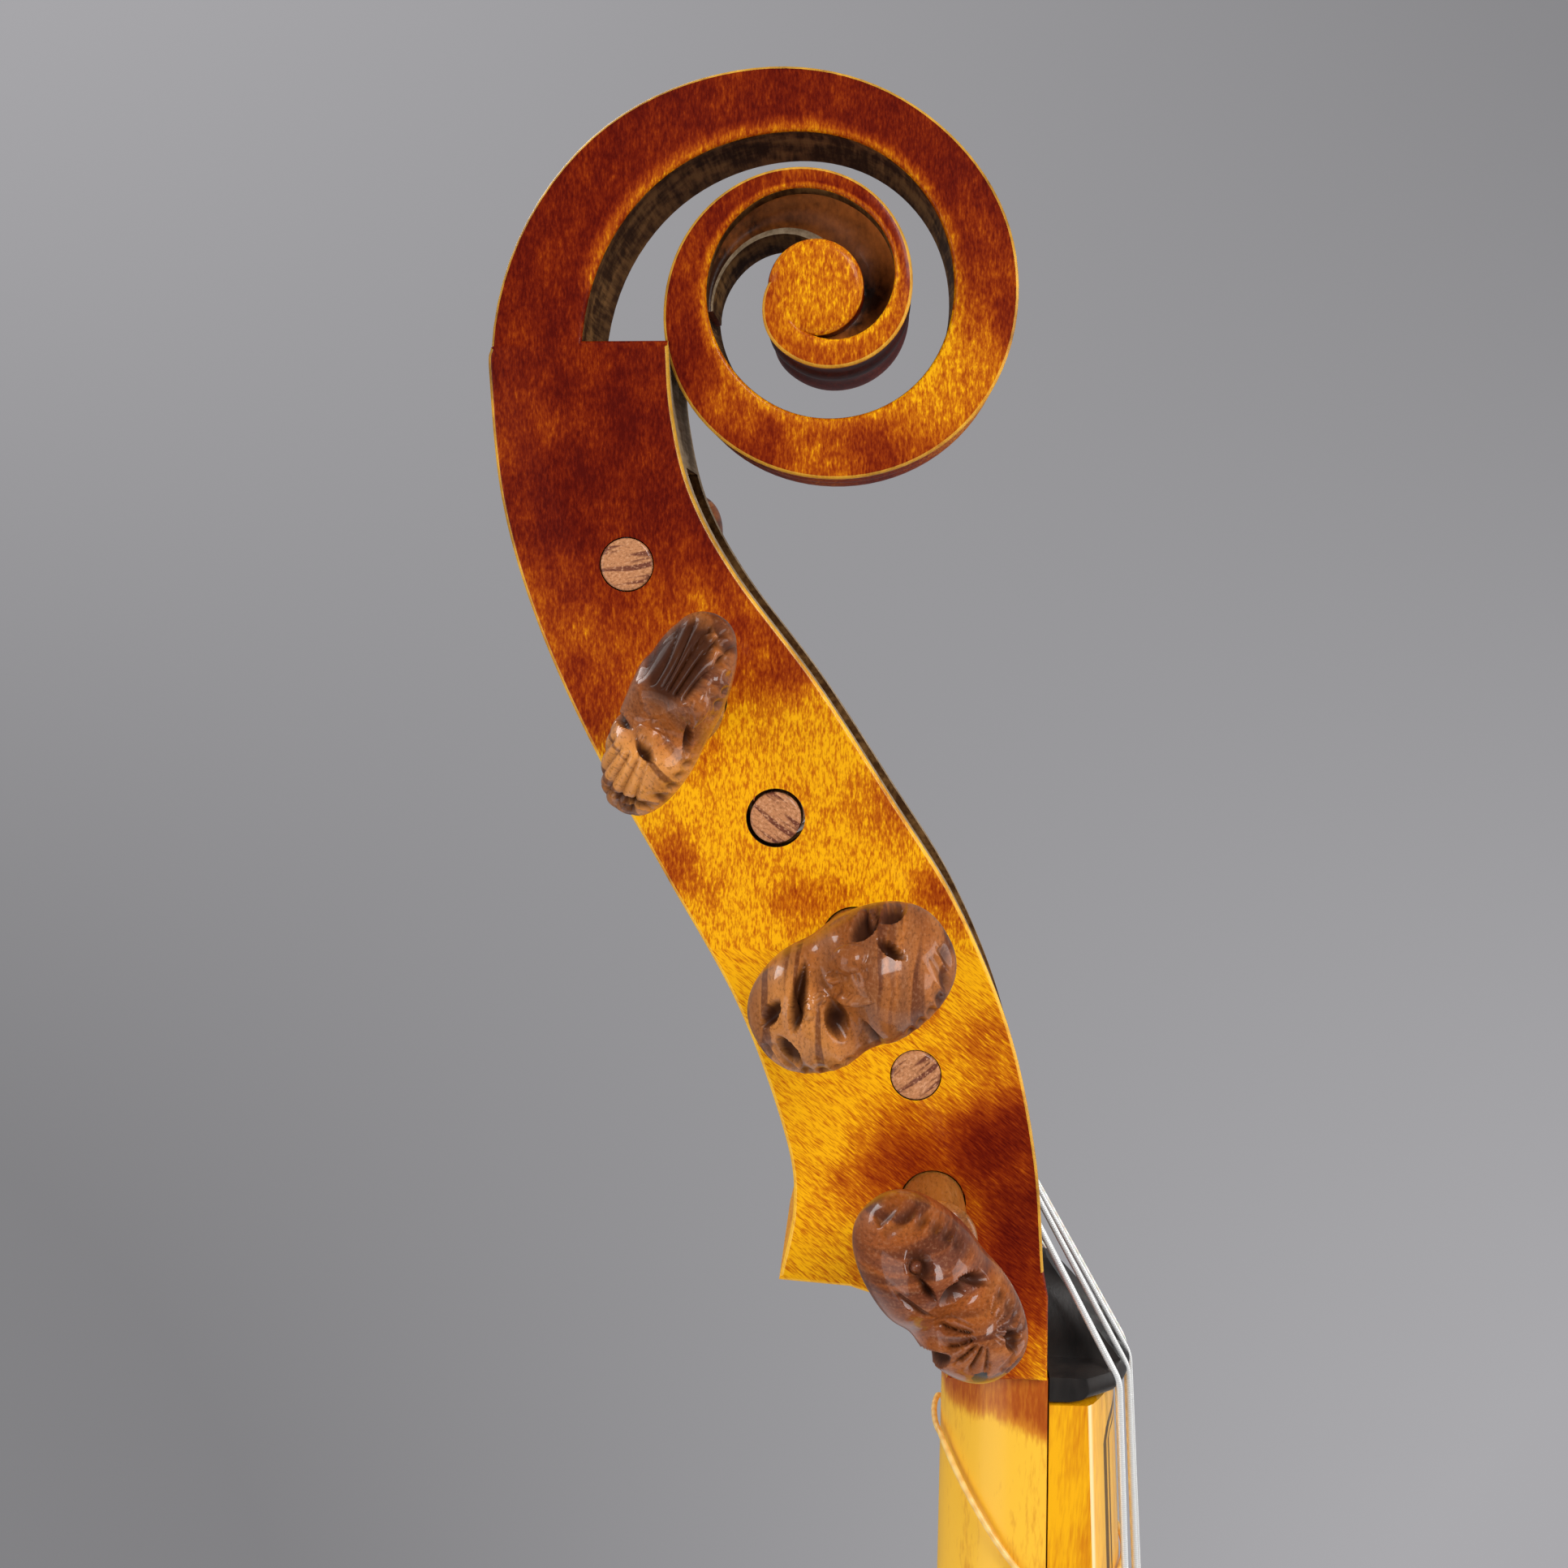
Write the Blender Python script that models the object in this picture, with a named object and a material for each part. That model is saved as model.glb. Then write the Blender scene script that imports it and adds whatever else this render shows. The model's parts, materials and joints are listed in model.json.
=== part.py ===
"""Six-string bass viol with an open scroll, built as its separate pieces.

Metres, +Z up along the body, the belly faces -Y and the bass side is -X.
The origin is the middle of the hook bar's flat lower face.
The head, neck, fingerboard, nut, pegs and frets are drawn in the neck's own frame:
x across, p towards the strings (local -Y) and q up along the neck (local +Z),
with p = 0 on the neck's flat top and q = 0 where the fingerboard meets the nut.
"""
import math

import bmesh
import bpy
import numpy as np
from mathutils import Matrix, Vector
from mathutils.geometry import interpolate_bezier

MM = 0.001
GAP = 0.3 * MM                 # clearance between pieces that touch
SEAM = GAP / 2.0               # each side of a seam's middle

# Body, from its outline and depths
BODY_BOTTOM = 12.0 * MM        # the hook bar stands this far below the ribs
BODY_LENGTH = 680.0 * MM
TOP_HALF = 29.0 * MM           # half width where the ribs meet the neck
UPPER_HALF = 161.0 * MM
UPPER_DROP = 190.0 * MM        # widest place of the upper bout, below the top
UPPER_CORNER_HALF = 146.0 * MM
UPPER_CORNER_DROP = 262.0 * MM
WAIST_HALF = 116.0 * MM
WAIST_DROP = 340.0 * MM
LOWER_CORNER_HALF = 168.0 * MM
LOWER_CORNER_DROP = 424.0 * MM
LOWER_HALF = 198.0 * MM
LOWER_DROP = 545.0 * MM
RIB_DEPTH = 125.0 * MM
RIB_DEPTH_AT_NECK = 78.0 * MM
RIB_THICKNESS = 2.2 * MM
FOLD_DROP = 205.0 * MM         # the flat back bends forward this far below the top
OVERHANG = 2.5 * MM            # of belly and back past the ribs
NARROW_END = 6.0 * MM          # half width of the plates' last row, at the hook bar

# Belly and back
BELLY_EDGE = 4.5 * MM
BELLY_ARCH = 13.0 * MM
BELLY_COLUMNS = 8
BACK_THICKNESS = 3.8 * MM
SOUND_HOLE_LENGTH = 92.0 * MM
SOUND_HOLE_HALF_GAP = 62.0 * MM
SOUND_HOLE_WIDTH = 6.0 * MM
SOUND_HOLE_EYE = 6.5 * MM
SOUND_HOLE_BOW = 13.0 * MM

# Inside
BLOCK_DEPTH = 30.0 * MM
BOTTOM_BLOCK_HALF = 36.0 * MM
CORNER_REACH = 26.0 * MM
LINING_THICKNESS = 3.5 * MM
LINING_HEIGHT = 9.0 * MM
BASS_BAR_LENGTH = 430.0 * MM
BASS_BAR_X = -30.0 * MM
BASS_BAR_WIDTH = 7.0 * MM
BASS_BAR_HEIGHT = 11.0 * MM
SOUND_POST_RADIUS = 5.5 * MM
SOUND_POST_X = 30.0 * MM
SOUND_POST_BELOW_BRIDGE = 14.0 * MM
BRACE_WIDTH = 22.0 * MM
BRACE_HEIGHT = 6.0 * MM
BRACE_CLEARANCE = 1.0 * MM     # of the braces from the fold and from the linings
POST_BRACE_WIDTH = 1.8 * BRACE_WIDTH
LOWER_BRACE_RISE = 110.0 * MM  # above the body's lower edge

# Strings: string 1 is the treble, at +X, and string 6 the bass, at -X
STRING_LENGTH = 690.0 * MM
STRING_DIAMETERS = [0.65 * MM, 0.8 * MM, 0.95 * MM, 1.1 * MM, 1.25 * MM, 1.4 * MM]
NUT_SPACING = 7.2 * MM
BRIDGE_SPACING = 15.4 * MM
NUT_CLEARANCE = 3.4 * MM       # string above the fingerboard at the nut
TURNS = [3, 3, 3, 2, 2, 2]
LOOP_POINTS = 24
TURN_GAP = 0.5 * MM            # between neighbouring turns on a peg
WINDING_LIFT = 0.35 * MM       # between the shaft and its string
WALL_CLEARANCE = 0.7 * MM      # between the last turn and the pegbox wall
STRING_LEAN = math.radians(31.0)   # of the strings behind the nut
STRING_DRAW = 0.7              # strings draw together by this share on their way to the pegs
NOTCH_REACH = 9.0 * MM

# Bridge, tailpiece and hook bar
BRIDGE_DROP = 376.0 * MM       # of the bridge below the body's top
BRIDGE_HEIGHT = 80.0 * MM
BRIDGE_ARCH_RADIUS = 62.0 * MM
BRIDGE_FOOT_HALF = 47.0 * MM
BRIDGE_BOTTOM_THICKNESS = 9.5 * MM
BRIDGE_TOP_THICKNESS = 4.0 * MM
TAIL_TOP_HALF = 38.0 * MM
TAIL_BOTTOM_HALF = 19.0 * MM
TAIL_THICKNESS = 6.0 * MM
TAIL_ARCH = 6.0 * MM
TAIL_HOLE_RADIUS = 1.3 * MM
TAIL_HOLE_INSET = 12.0 * MM    # of the string holes from the tailpiece's end
AFTER_LENGTH = 70.0 * MM       # string between bridge and tailpiece
HOOK_HALF_WIDTH = 12.0 * MM
HOOK_NECK_HALF = 5.0 * MM      # of the narrower part that passes the tailpiece
HOOK_LIFT = 16.0 * MM          # of the hook above the belly's edge
HOOK_PAST_TAIL = 12.0 * MM
TAIL_BOTTOM_Z = 2.0 * MM
TAIL_HOLE_DRAW = 0.72          # string holes stand closer than the strings on the bridge by this share

# Neck and fingerboard
NECK_TILT = math.radians(4.0)
NECK_LIFT = 8.0 * MM           # neck's top above the belly at the body's top edge
NUT_HALF = 23.0 * MM
BOARD_LENGTH = 455.0 * MM
BOARD_END_HALF = 36.0 * MM
BOARD_NUT_RADIUS = 42.0 * MM
BOARD_END_RADIUS = 60.0 * MM
BOARD_NUT_CROWN = 15.2 * MM
BOARD_END_CROWN = 37.5 * MM
BOARD_END_SIDE = 9.0 * MM
BOARD_COLUMNS = 12             # facets across the board, which the frets follow
NECK_DEPTH = 20.0 * MM
NECK_DEPTH_LOW = 24.0 * MM
NECK_COLUMNS = 12
NECK_INSET = 0.4 * MM          # of the neck's sides from the board's
HEEL_LENGTH = 62.0 * MM
HEEL_CAP = 2.0 * MM            # of the heel past the back
NUT_LENGTH = 5.0 * MM
NUT_CREST = 0.55 * NUT_LENGTH  # q where the strings bend over the nut
NUT_DOME = 18.0 * MM           # length of its dome over the pegbox foot
DOME_HALF = 12.5 * MM
FRET_STOPS = 7
FRET_DIAMETERS = [1.2 * MM, 1.15 * MM, 1.1 * MM, 1.0 * MM, 0.95 * MM, 0.9 * MM, 0.85 * MM]
FRET_NECK_EASE = 1.08          # of a fret's lift where it goes round the neck
FRET_SLANT = [26.0 * MM, 5.0 * MM, 2.0 * MM, 3.0 * MM, 0.0, 1.5 * MM, 0.0]

# Head
HEAD_START = 5.3 * MM          # q of the joint between neck and head
HEAD_FRONT_TOP = 22.0 * MM     # q where the flat behind the nut ends
PEGBOX_HALF_LOW = 25.0 * MM
PEGBOX_HALF_HIGH = 17.0 * MM
PEGBOX_TOP = 207.0 * MM
WALL = 6.5 * MM
FLOOR = 12.5 * MM
CAVITY_TOP = 183.0 * MM
CAVITY_LOW = 52.0 * MM         # q where the cavity's floor leaves the line of the back
CAVITY_BEND = 12.0 * MM        # below the cavity's top, where its floor turns forward
CAVITY_BEND_REACH = 8.0 * MM
CAVITY_FRONT = -40.0 * MM      # p of the front end of the cavity's top
# The cavity's mouth in front and its rise to the nut, and the side channels, in (p, q)
MOUTH_POINTS = [(20.0, 90.0), (20.0, 25.0), (0.0, 24.5), (-18.0, 26.0), (-30.0, 29.0), (-37.5, 40.0)]
CHANNEL_POINTS = [(5.0, 10.0), (-0.6, 10.0), (-16.0, 24.0), (-21.0, 33.0), (5.0, 33.0)]
CHANNEL_ROOM = 0.5 * MM        # between a side channel and the nut's dome
EYE_CENTRE = (-46.2 * MM, 216.2 * MM)
EYE_RADIUS = 9.1 * MM
EYE_HALF = 21.0 * MM
WEB_HALF = 11.0 * MM

# Head outline in (p, q): up the back from the chin, and down the front from the cheek
BACK_POINTS = [(-53.0, 24.5), (-50.2, 39.0), (-51.8, 53.0), (-61.0, 78.5), (-75.3, 104.3),
               (-89.3, 129.0), (-100.4, 154.0), (-106.9, 177.0), (-109.2, 201.0), (-108.7, 207.0)]
FRONT_POINTS = [(-74.6, 207.0), (-73.6, 193.0), (-70.0, 178.0), (-61.6, 162.5), (-46.0, 141.8),
                (-31.5, 119.6), (-18.5, 98.8), (-8.3, 74.5), (-3.0, 50.0), (-1.2, 27.0)]
CHIN_POINTS = [(-20.0, 5.3), (-22.0, 12.0), (-28.5, 19.5), (-39.0, 23.4)]

# Scroll band about the eye, by angle (clockwise degrees from straight up, seen from the bass
# side): outer radius, inner radius and half width
SPIRAL = [(-112.0, 66.6, 49.0, 16.9), (-98.0, 63.0, 45.0, 16.9), (-60.0, 53.0, 37.4, 15.2),
          (-20.0, 44.4, 31.5, 13.4), (30.0, 39.4, 28.4, 13.0), (80.0, 38.7, 26.4, 13.0),
          (130.0, 38.2, 25.7, 13.3), (180.0, 35.2, 23.6, 14.0), (230.0, 32.3, 21.6, 15.2),
          (280.0, 28.1, 20.8, 16.8), (330.0, 24.2, 19.7, 18.2), (380.0, 21.2, 17.4, 19.3),
          (430.0, 18.7, 15.5, 20.2), (480.0, 17.6, 12.9, 20.8), (530.0, 15.9, 9.5, 21.0),
          (570.0, 13.0, 7.0, 21.0), (612.0, 9.9, 5.5, 21.0)]
SPIRAL_STEP = 10.0
WEB_FROM = 318.0
WEB_TO = 530.0

# Pegs: side of the head (-1 is the bass side), place of the axis and turn of the head
PEGS = [(1, -82.6, 164.4, 20.0), (-1, -69.6, 138.6, -26.0), (1, -53.8, 115.6, 65.0),
        (-1, -38.4, 92.0, -52.0), (1, -26.4, 65.6, -10.0), (-1, -23.0, 40.4, 50.0)]
PEG_OF_STRING = {1: 6, 2: 3, 3: 1, 4: 2, 5: 4, 6: 5}
PEG_RADIUS = 6.2 * MM          # at the wall on the side of its head
PEG_TAPER = 1.0 / 60.0         # of the radius, along the shaft
PEG_FIT = 0.3 * MM
PEG_OUTSIDE = 24.0 * MM        # bare shaft from the wall to the collar
PEG_HEAD_WIDTH = 38.0 * MM
PEG_HEAD_THICKNESS = 18.5 * MM
PEG_HEAD_HEIGHT = 37.0 * MM
PEG_PROUD = 0.4 * MM           # of the thin end past the far wall

BODY_TOP = BODY_BOTTOM + BODY_LENGTH
FRONT_Y = -RIB_DEPTH / 2.0
BELLY_CROWN_Y = FRONT_Y - BELLY_EDGE - BELLY_ARCH
FOLD_Z = BODY_TOP - FOLD_DROP


def clear_scene():
    for item in list(bpy.data.objects):
        bpy.data.objects.remove(item, do_unlink=True)


def material(name, colour, roughness, metallic=0.0):
    made = bpy.data.materials.new(name)
    made.use_nodes = True
    shader = made.node_tree.nodes["Principled BSDF"]
    shader.inputs["Base Color"].default_value = (*colour, 1.0)
    shader.inputs["Roughness"].default_value = roughness
    shader.inputs["Metallic"].default_value = metallic
    return made


def link(name, data, finish=None, parent=None):
    made = bpy.data.objects.new(name, data)
    bpy.context.scene.collection.objects.link(made)
    if finish is not None:
        data.materials.append(finish)
    if parent is not None:
        made.parent = parent
    return made


def object_from(name, bm, finish, parent=None, smooth=None):
    bmesh.ops.recalc_face_normals(bm, faces=bm.faces)
    mesh = bpy.data.meshes.new(name)
    bm.to_mesh(mesh)
    bm.free()
    if smooth is not None:
        mesh.shade_smooth()
        mesh.set_sharp_from_angle(angle=math.radians(smooth))
    return link(name, mesh, finish, parent)


def as_tool(tool):
    tool.hide_render = True
    tool.display_type = "WIRE"
    return tool


def boolean(target, tool, operation="DIFFERENCE"):
    modifier = target.modifiers.new(tool.name, "BOOLEAN")
    modifier.operation = operation
    modifier.solver = "EXACT"
    modifier.object = as_tool(tool)


def loft(sections):
    """A closed skin through rings of points that all have the same count."""
    bm = bmesh.new()
    rings = [[bm.verts.new(point) for point in section] for section in sections]
    for low, high in zip(rings, rings[1:]):
        for here in range(len(low)):
            after = (here + 1) % len(low)
            bm.faces.new((low[here], low[after], high[after], high[here]))
    bm.faces.new(rings[0])
    bm.faces.new(rings[-1])
    return bm


def prism(outline, low, high):
    """An outline of (x, z) points drawn out along Y from low to high."""
    return loft([[(x, y, z) for x, z in outline] for y in (low, high)])


def box(low, high):
    bm = bmesh.new()
    bmesh.ops.create_cube(bm, size=1.0)
    size = Vector(high) - Vector(low)
    middle = (Vector(high) + Vector(low)) / 2.0
    bmesh.ops.transform(bm, matrix=Matrix.Translation(middle) @ Matrix.Diagonal((*size, 1.0)), verts=bm.verts)
    return bm


def smooth_through(points, steps):
    """Points of a smooth curve that passes through all of the given ones."""
    rows = np.array(points, dtype=float)
    padded = np.vstack([2.0 * rows[0] - rows[1], rows, 2.0 * rows[-1] - rows[-2]])
    made = []
    for index in range(len(rows) - 1):
        a, b, c, d = padded[index:index + 4]
        for step in range(steps):
            t = step / steps
            made.append(0.5 * (2.0 * b + (c - a) * t + (2.0 * a - 5.0 * b + 4.0 * c - d) * t ** 2
                               + (3.0 * b - a - 3.0 * c + d) * t ** 3))
    made.append(rows[-1])
    return [tuple(float(value) for value in row) for row in made]


def curved(start, start_handle, end_handle, end, count):
    handles = [Vector((*point, 0.0)) for point in (start, start_handle, end_handle, end)]
    return [(point.x, point.y) for point in interpolate_bezier(*handles, count)]


def mix(low, high, share):
    return low + (high - low) * share


# Body outline, on the treble side: three runs between the corners, each from its upper end
def upper_run():
    corner_z = BODY_TOP - UPPER_CORNER_DROP
    wide_z = BODY_TOP - UPPER_DROP
    shoulder = curved((TOP_HALF, BODY_TOP), (TOP_HALF + 30.0 * MM, BODY_TOP - 22.0 * MM),
                      (UPPER_HALF, wide_z + 92.0 * MM), (UPPER_HALF, wide_z), 11)
    flank = curved((UPPER_HALF, wide_z), (UPPER_HALF, wide_z - 26.0 * MM),
                   (UPPER_CORNER_HALF - 5.0 * MM, corner_z + 30.0 * MM), (UPPER_CORNER_HALF, corner_z), 6)
    return shoulder + flank[1:]


def waist_run():
    top_z = BODY_TOP - UPPER_CORNER_DROP
    waist_z = BODY_TOP - WAIST_DROP
    low_z = BODY_TOP - LOWER_CORNER_DROP
    down = curved((UPPER_CORNER_HALF, top_z), (UPPER_CORNER_HALF - 22.0 * MM, top_z - 6.0 * MM),
                  (WAIST_HALF, waist_z + 38.0 * MM), (WAIST_HALF, waist_z), 7)
    out = curved((WAIST_HALF, waist_z), (WAIST_HALF, waist_z - 44.0 * MM),
                 (LOWER_CORNER_HALF - 30.0 * MM, low_z + 5.0 * MM), (LOWER_CORNER_HALF, low_z), 8)
    return down + out[1:]


def lower_run():
    corner_z = BODY_TOP - LOWER_CORNER_DROP
    wide_z = BODY_TOP - LOWER_DROP
    flank = curved((LOWER_CORNER_HALF, corner_z), (LOWER_CORNER_HALF - 6.0 * MM, corner_z - 34.0 * MM),
                   (LOWER_HALF, wide_z + 58.0 * MM), (LOWER_HALF, wide_z), 7)
    bottom = curved((LOWER_HALF, wide_z), (LOWER_HALF, wide_z - 88.0 * MM),
                    (104.0 * MM, BODY_BOTTOM), (0.0, BODY_BOTTOM), 13)
    return flank + bottom[1:]


def offset_run(run, distance):
    """The run moved sideways: out of the body for a positive distance."""
    points = np.array(run)
    along = np.gradient(points, axis=0)
    along /= np.linalg.norm(along, axis=1)[:, None]
    outward = np.stack([-along[:, 1], along[:, 0]], axis=1)
    return points + outward * distance


def meet_plane(points, height, at_end):
    """The run's end moved along itself to the given height."""
    moved = np.array(points)
    end, before = (-1, -2) if at_end else (0, 1)
    slope = moved[end] - moved[before]
    if abs(slope[1]) > 0.05 * MM:
        moved[end] = moved[end] + slope * (height - moved[end][1]) / slope[1]
    moved[end][1] = height
    return moved


def back_y(z):
    """The inner face of the back: flat, then leaning forward above the fold."""
    if z <= FOLD_Z:
        return RIB_DEPTH / 2.0
    share = (z - FOLD_Z) / FOLD_DROP
    return mix(RIB_DEPTH / 2.0, FRONT_Y + RIB_DEPTH_AT_NECK, share)


def body_rows(distance):
    """Half widths of the body's outline by height, from the bottom up."""
    rows = []
    for run in (upper_run(), waist_run(), lower_run()):
        moved = offset_run(run, distance)
        rows.append(moved)
    upper, waist, lower = rows
    upper = meet_plane(upper, BODY_TOP - UPPER_CORNER_DROP, True)
    lower = meet_plane(lower, BODY_TOP - LOWER_CORNER_DROP, False)
    upper = meet_plane(upper, BODY_TOP, False)
    lower[-1] = (0.0, BODY_BOTTOM - distance)
    joined = np.vstack([upper, waist[1:-1], lower])[::-1]
    return [(float(x), float(z)) for x, z in joined]


def arch(x, z, rows):
    """How far the belly rises above its edge."""
    heights = [row[1] for row in rows]
    half = float(np.interp(z, heights, [row[0] for row in rows]))
    lengthwise = (z - BODY_BOTTOM) / BODY_LENGTH
    rise = max(0.0, math.sin(math.pi * min(max(lengthwise, 0.0), 1.0))) ** 0.55
    across = max(0.0, 1.0 - (x / max(half, MM)) ** 2) ** 1.5
    return BELLY_ARCH * rise * across


def belly_sections(outer_y, inner_y, flat_inner=False):
    """Rings of an arched plate between two heights, in the belly's own rows and columns."""
    rows = body_rows(OVERHANG)
    sections = []
    for half, z in rows:
        half = max(half, NARROW_END)
        steps = [2.0 * i / BELLY_COLUMNS - 1.0 for i in range(BELLY_COLUMNS + 1)]
        xs = [half * math.sin(math.pi / 2.0 * step) for step in steps]
        rise = [arch(x, z, rows) for x in xs]
        outer = [(x, outer_y - up, z) for x, up in zip(xs, rise)]
        inner = [(x, inner_y - (0.0 if flat_inner else up), z) for x, up in zip(xs, rise)]
        sections.append(outer + inner[::-1])
    return sections


def belly(finish):
    sections = belly_sections(FRONT_Y - BELLY_EDGE, FRONT_Y - GAP)
    made = object_from("belly", loft(sections), finish, smooth=30.0)
    for side in (-1, 1):
        boolean(made, sound_hole(side))
    return made


def sound_hole(side):
    """A C with round eyes, its open side towards the edge of the body."""
    middle = BRIDGE_Z + 14.0 * MM
    count = 12
    shape = []
    for step in range(count + 1):
        share = 2.0 * step / count - 1.0
        z = middle + share * SOUND_HOLE_LENGTH / 2.0
        x = SOUND_HOLE_HALF_GAP + SOUND_HOLE_BOW * share ** 2
        half = SOUND_HOLE_WIDTH / 2.0 * (1.0 - 0.45 * share ** 2)
        shape.append((x, z, half))
    inner = [(side * (x - half), z) for x, z, half in shape]
    outer = [(side * (x + half), z) for x, z, half in reversed(shape)]
    near = BELLY_CROWN_Y - 5.0 * MM
    far = FRONT_Y + 5.0 * MM
    slot = object_from(f"sound_hole_{side}", prism(inner + outer, near, far), None)
    for end in (-1, 1):
        x = side * (SOUND_HOLE_HALF_GAP + SOUND_HOLE_BOW + SOUND_HOLE_EYE * 0.35)
        z = middle + end * SOUND_HOLE_LENGTH / 2.0
        ring = [(x + SOUND_HOLE_EYE * math.cos(a), z + SOUND_HOLE_EYE * math.sin(a))
                for a in np.linspace(0.0, 2.0 * math.pi, 15)[:-1]]
        eye = object_from(f"sound_hole_eye_{side}_{end}", prism(ring, near - MM, far + MM), None)
        boolean(slot, eye, "UNION")
    return slot


def back(finish):
    rows = body_rows(OVERHANG)
    heights = [row[1] for row in rows]
    fold_half = float(np.interp(FOLD_Z, heights, [row[0] for row in rows]))
    rows.insert(int(np.searchsorted(heights, FOLD_Z)), (fold_half, FOLD_Z))
    sections = []
    for half, z in rows:
        half = max(half, NARROW_END)
        near = back_y(z) + GAP
        far = near + BACK_THICKNESS
        sections.append([(-half, near, z), (half, near, z), (half, far, z), (-half, far, z)])
    return object_from("back", loft(sections), finish)


def rib(name, run, side, low_plane, high_plane, finish):
    """A bent strip along a run of the outline, from belly to back."""
    sides = []
    for distance in (0.0, -RIB_THICKNESS):
        points = offset_run(run, distance)
        if high_plane is not None:
            points = meet_plane(points, high_plane, False)
        if low_plane is not None:
            points = meet_plane(points, low_plane, True)
        sides.append(points)
    sections = []
    for outer, inner in zip(*sides):
        ring = []
        for x, z in (outer, inner):
            ring.append((side * x, FRONT_Y, z))
            ring.append((side * x, back_y(z), z))
        sections.append([ring[0], ring[1], ring[3], ring[2]])
    return object_from(name, loft(sections), finish, smooth=40.0)


def lining(name, run, side, near_belly, finish):
    """A strip that widens the rib's edge where belly or back is glued."""
    start = offset_run(run, -RIB_THICKNESS - GAP)
    inside = offset_run(run, -RIB_THICKNESS - GAP - LINING_THICKNESS)
    keep = lining_keep(run)
    sections = []
    for (ax, az), (bx, bz) in zip(start[keep], inside[keep]):
        ring = []
        for x, z in ((ax, az), (bx, bz)):
            edge = FRONT_Y if near_belly else back_y(z)
            depth = LINING_HEIGHT if near_belly else -LINING_HEIGHT
            ring.append((side * x, edge, z))
            ring.append((side * x, edge + depth, z))
        sections.append([ring[0], ring[1], ring[3], ring[2]])
    return object_from(name, loft(sections), finish, smooth=40.0)


def lining_keep(run):
    """The stretch of a run between its blocks."""
    points = np.array(run)
    lengths = np.concatenate([[0.0], np.cumsum(np.linalg.norm(np.diff(points, axis=0), axis=1))])
    start = BLOCK_DEPTH + 12.0 * MM if abs(points[0][1] - BODY_TOP) < MM else CORNER_REACH + 4.0 * MM
    end = BOTTOM_BLOCK_HALF + 6.0 * MM if abs(points[-1][0]) < MM else CORNER_REACH + 4.0 * MM
    return [i for i, length in enumerate(lengths) if start < length < lengths[-1] - end]


def corner_block(name, above, below, side, finish):
    """A block that fills the point where two ribs meet."""
    inset = -RIB_THICKNESS - GAP
    corner_z = above[-1][1]
    upper = meet_plane(offset_run(above, inset), corner_z, True)[::-1]
    lower = meet_plane(offset_run(below, inset), corner_z, False)
    lift = SEAM * 4.0 * (1.0 if upper[0][0] > lower[0][0] else -1.0)
    tips = [(upper[0][0] - MM, corner_z + lift), (lower[0][0] - MM, corner_z + lift)]
    corner = tips[0] if tips[0][0] > tips[1][0] else tips[1]
    first = walk(corner, [point for point in upper if point[1] > corner_z + MM], CORNER_REACH)
    second = walk(corner, [point for point in lower if point[1] < corner_z - MM], CORNER_REACH)
    outline = [(side * x, z) for x, z in first[::-1] + tips + second]
    middle = RIB_DEPTH / 2.0
    return object_from(name, prism(outline, -middle, middle), finish)


def walk(start, points, reach):
    """The points of a line up to a given distance from its start."""
    made = []
    for point in points:
        if math.dist(start, point) < reach:
            made.append((float(point[0]), float(point[1])))
    return made


# Neck frame
def to_world(x, p, q):
    return NECK_MATRIX @ Vector((x, -p, q))


def board_half(q):
    return mix(NUT_HALF, BOARD_END_HALF, -q / BOARD_LENGTH)


def board_crown(q):
    return mix(BOARD_NUT_CROWN, BOARD_END_CROWN, -q / BOARD_LENGTH)


def board_surface(x, q):
    radius = mix(BOARD_NUT_RADIUS, BOARD_END_RADIUS, -q / BOARD_LENGTH)
    return board_crown(q) - radius + math.sqrt(radius ** 2 - x ** 2)


def board_under(q):
    """The board's flat underside, which rises where it leaves the neck."""
    free = min(max((-q - NECK_FREE - 6.0 * MM) / (BOARD_LENGTH - NECK_FREE - 6.0 * MM), 0.0), 1.0)
    end = board_surface(BOARD_END_HALF, -BOARD_LENGTH) - BOARD_END_SIDE
    return GAP + (end - GAP) * free


def fingerboard(finish, parent):
    stops = [-GAP, -100.0 * MM, -200.0 * MM, -NECK_FREE, -NECK_FREE - 6.0 * MM,
             -NECK_FREE - 70.0 * MM, -BOARD_LENGTH]
    sections = []
    for q in stops:
        half = board_half(q)
        top = [half * (1.0 - 2.0 * i / BOARD_COLUMNS) for i in range(BOARD_COLUMNS + 1)]
        ring = [(x, -board_surface(x, q), q) for x in top]
        under = board_under(q)
        ring += [(-half, -under, q), (half, -under, q)]
        sections.append(ring)
    return object_from("fingerboard", loft(sections), finish, parent, smooth=25.0)


def neck_depth(q):
    """Depth of the neck below its flat top, growing into the heel."""
    plain = mix(NECK_DEPTH, NECK_DEPTH_LOW, min(max(-q / NECK_FREE, 0.0), 1.0))
    heel = min(max((-q - NECK_FREE + HEEL_LENGTH) / HEEL_LENGTH, 0.0), 1.0)
    return plain + (HEEL_DEPTH - plain) * (heel ** 2.6)


def neck_ring(q, extra=0.0):
    """The round-backed section of the neck, from one top edge round to the other."""
    half = board_half(min(q, 0.0)) - NECK_INSET
    heel = min(max((-q - NECK_FREE + HEEL_LENGTH) / HEEL_LENGTH, 0.0), 1.0)
    half = mix(half, TOP_HALF - 1.0 * MM, heel ** 2) + extra
    depth = neck_depth(q) + extra
    power = mix(0.85, 0.5, heel)
    ring = []
    for step in range(NECK_COLUMNS + 1):
        angle = math.pi * step / NECK_COLUMNS
        x = half * math.copysign(abs(math.cos(angle)) ** power, math.cos(angle))
        p = -depth * math.sin(angle) ** 0.9
        ring.append((x, p))
    return ring


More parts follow.
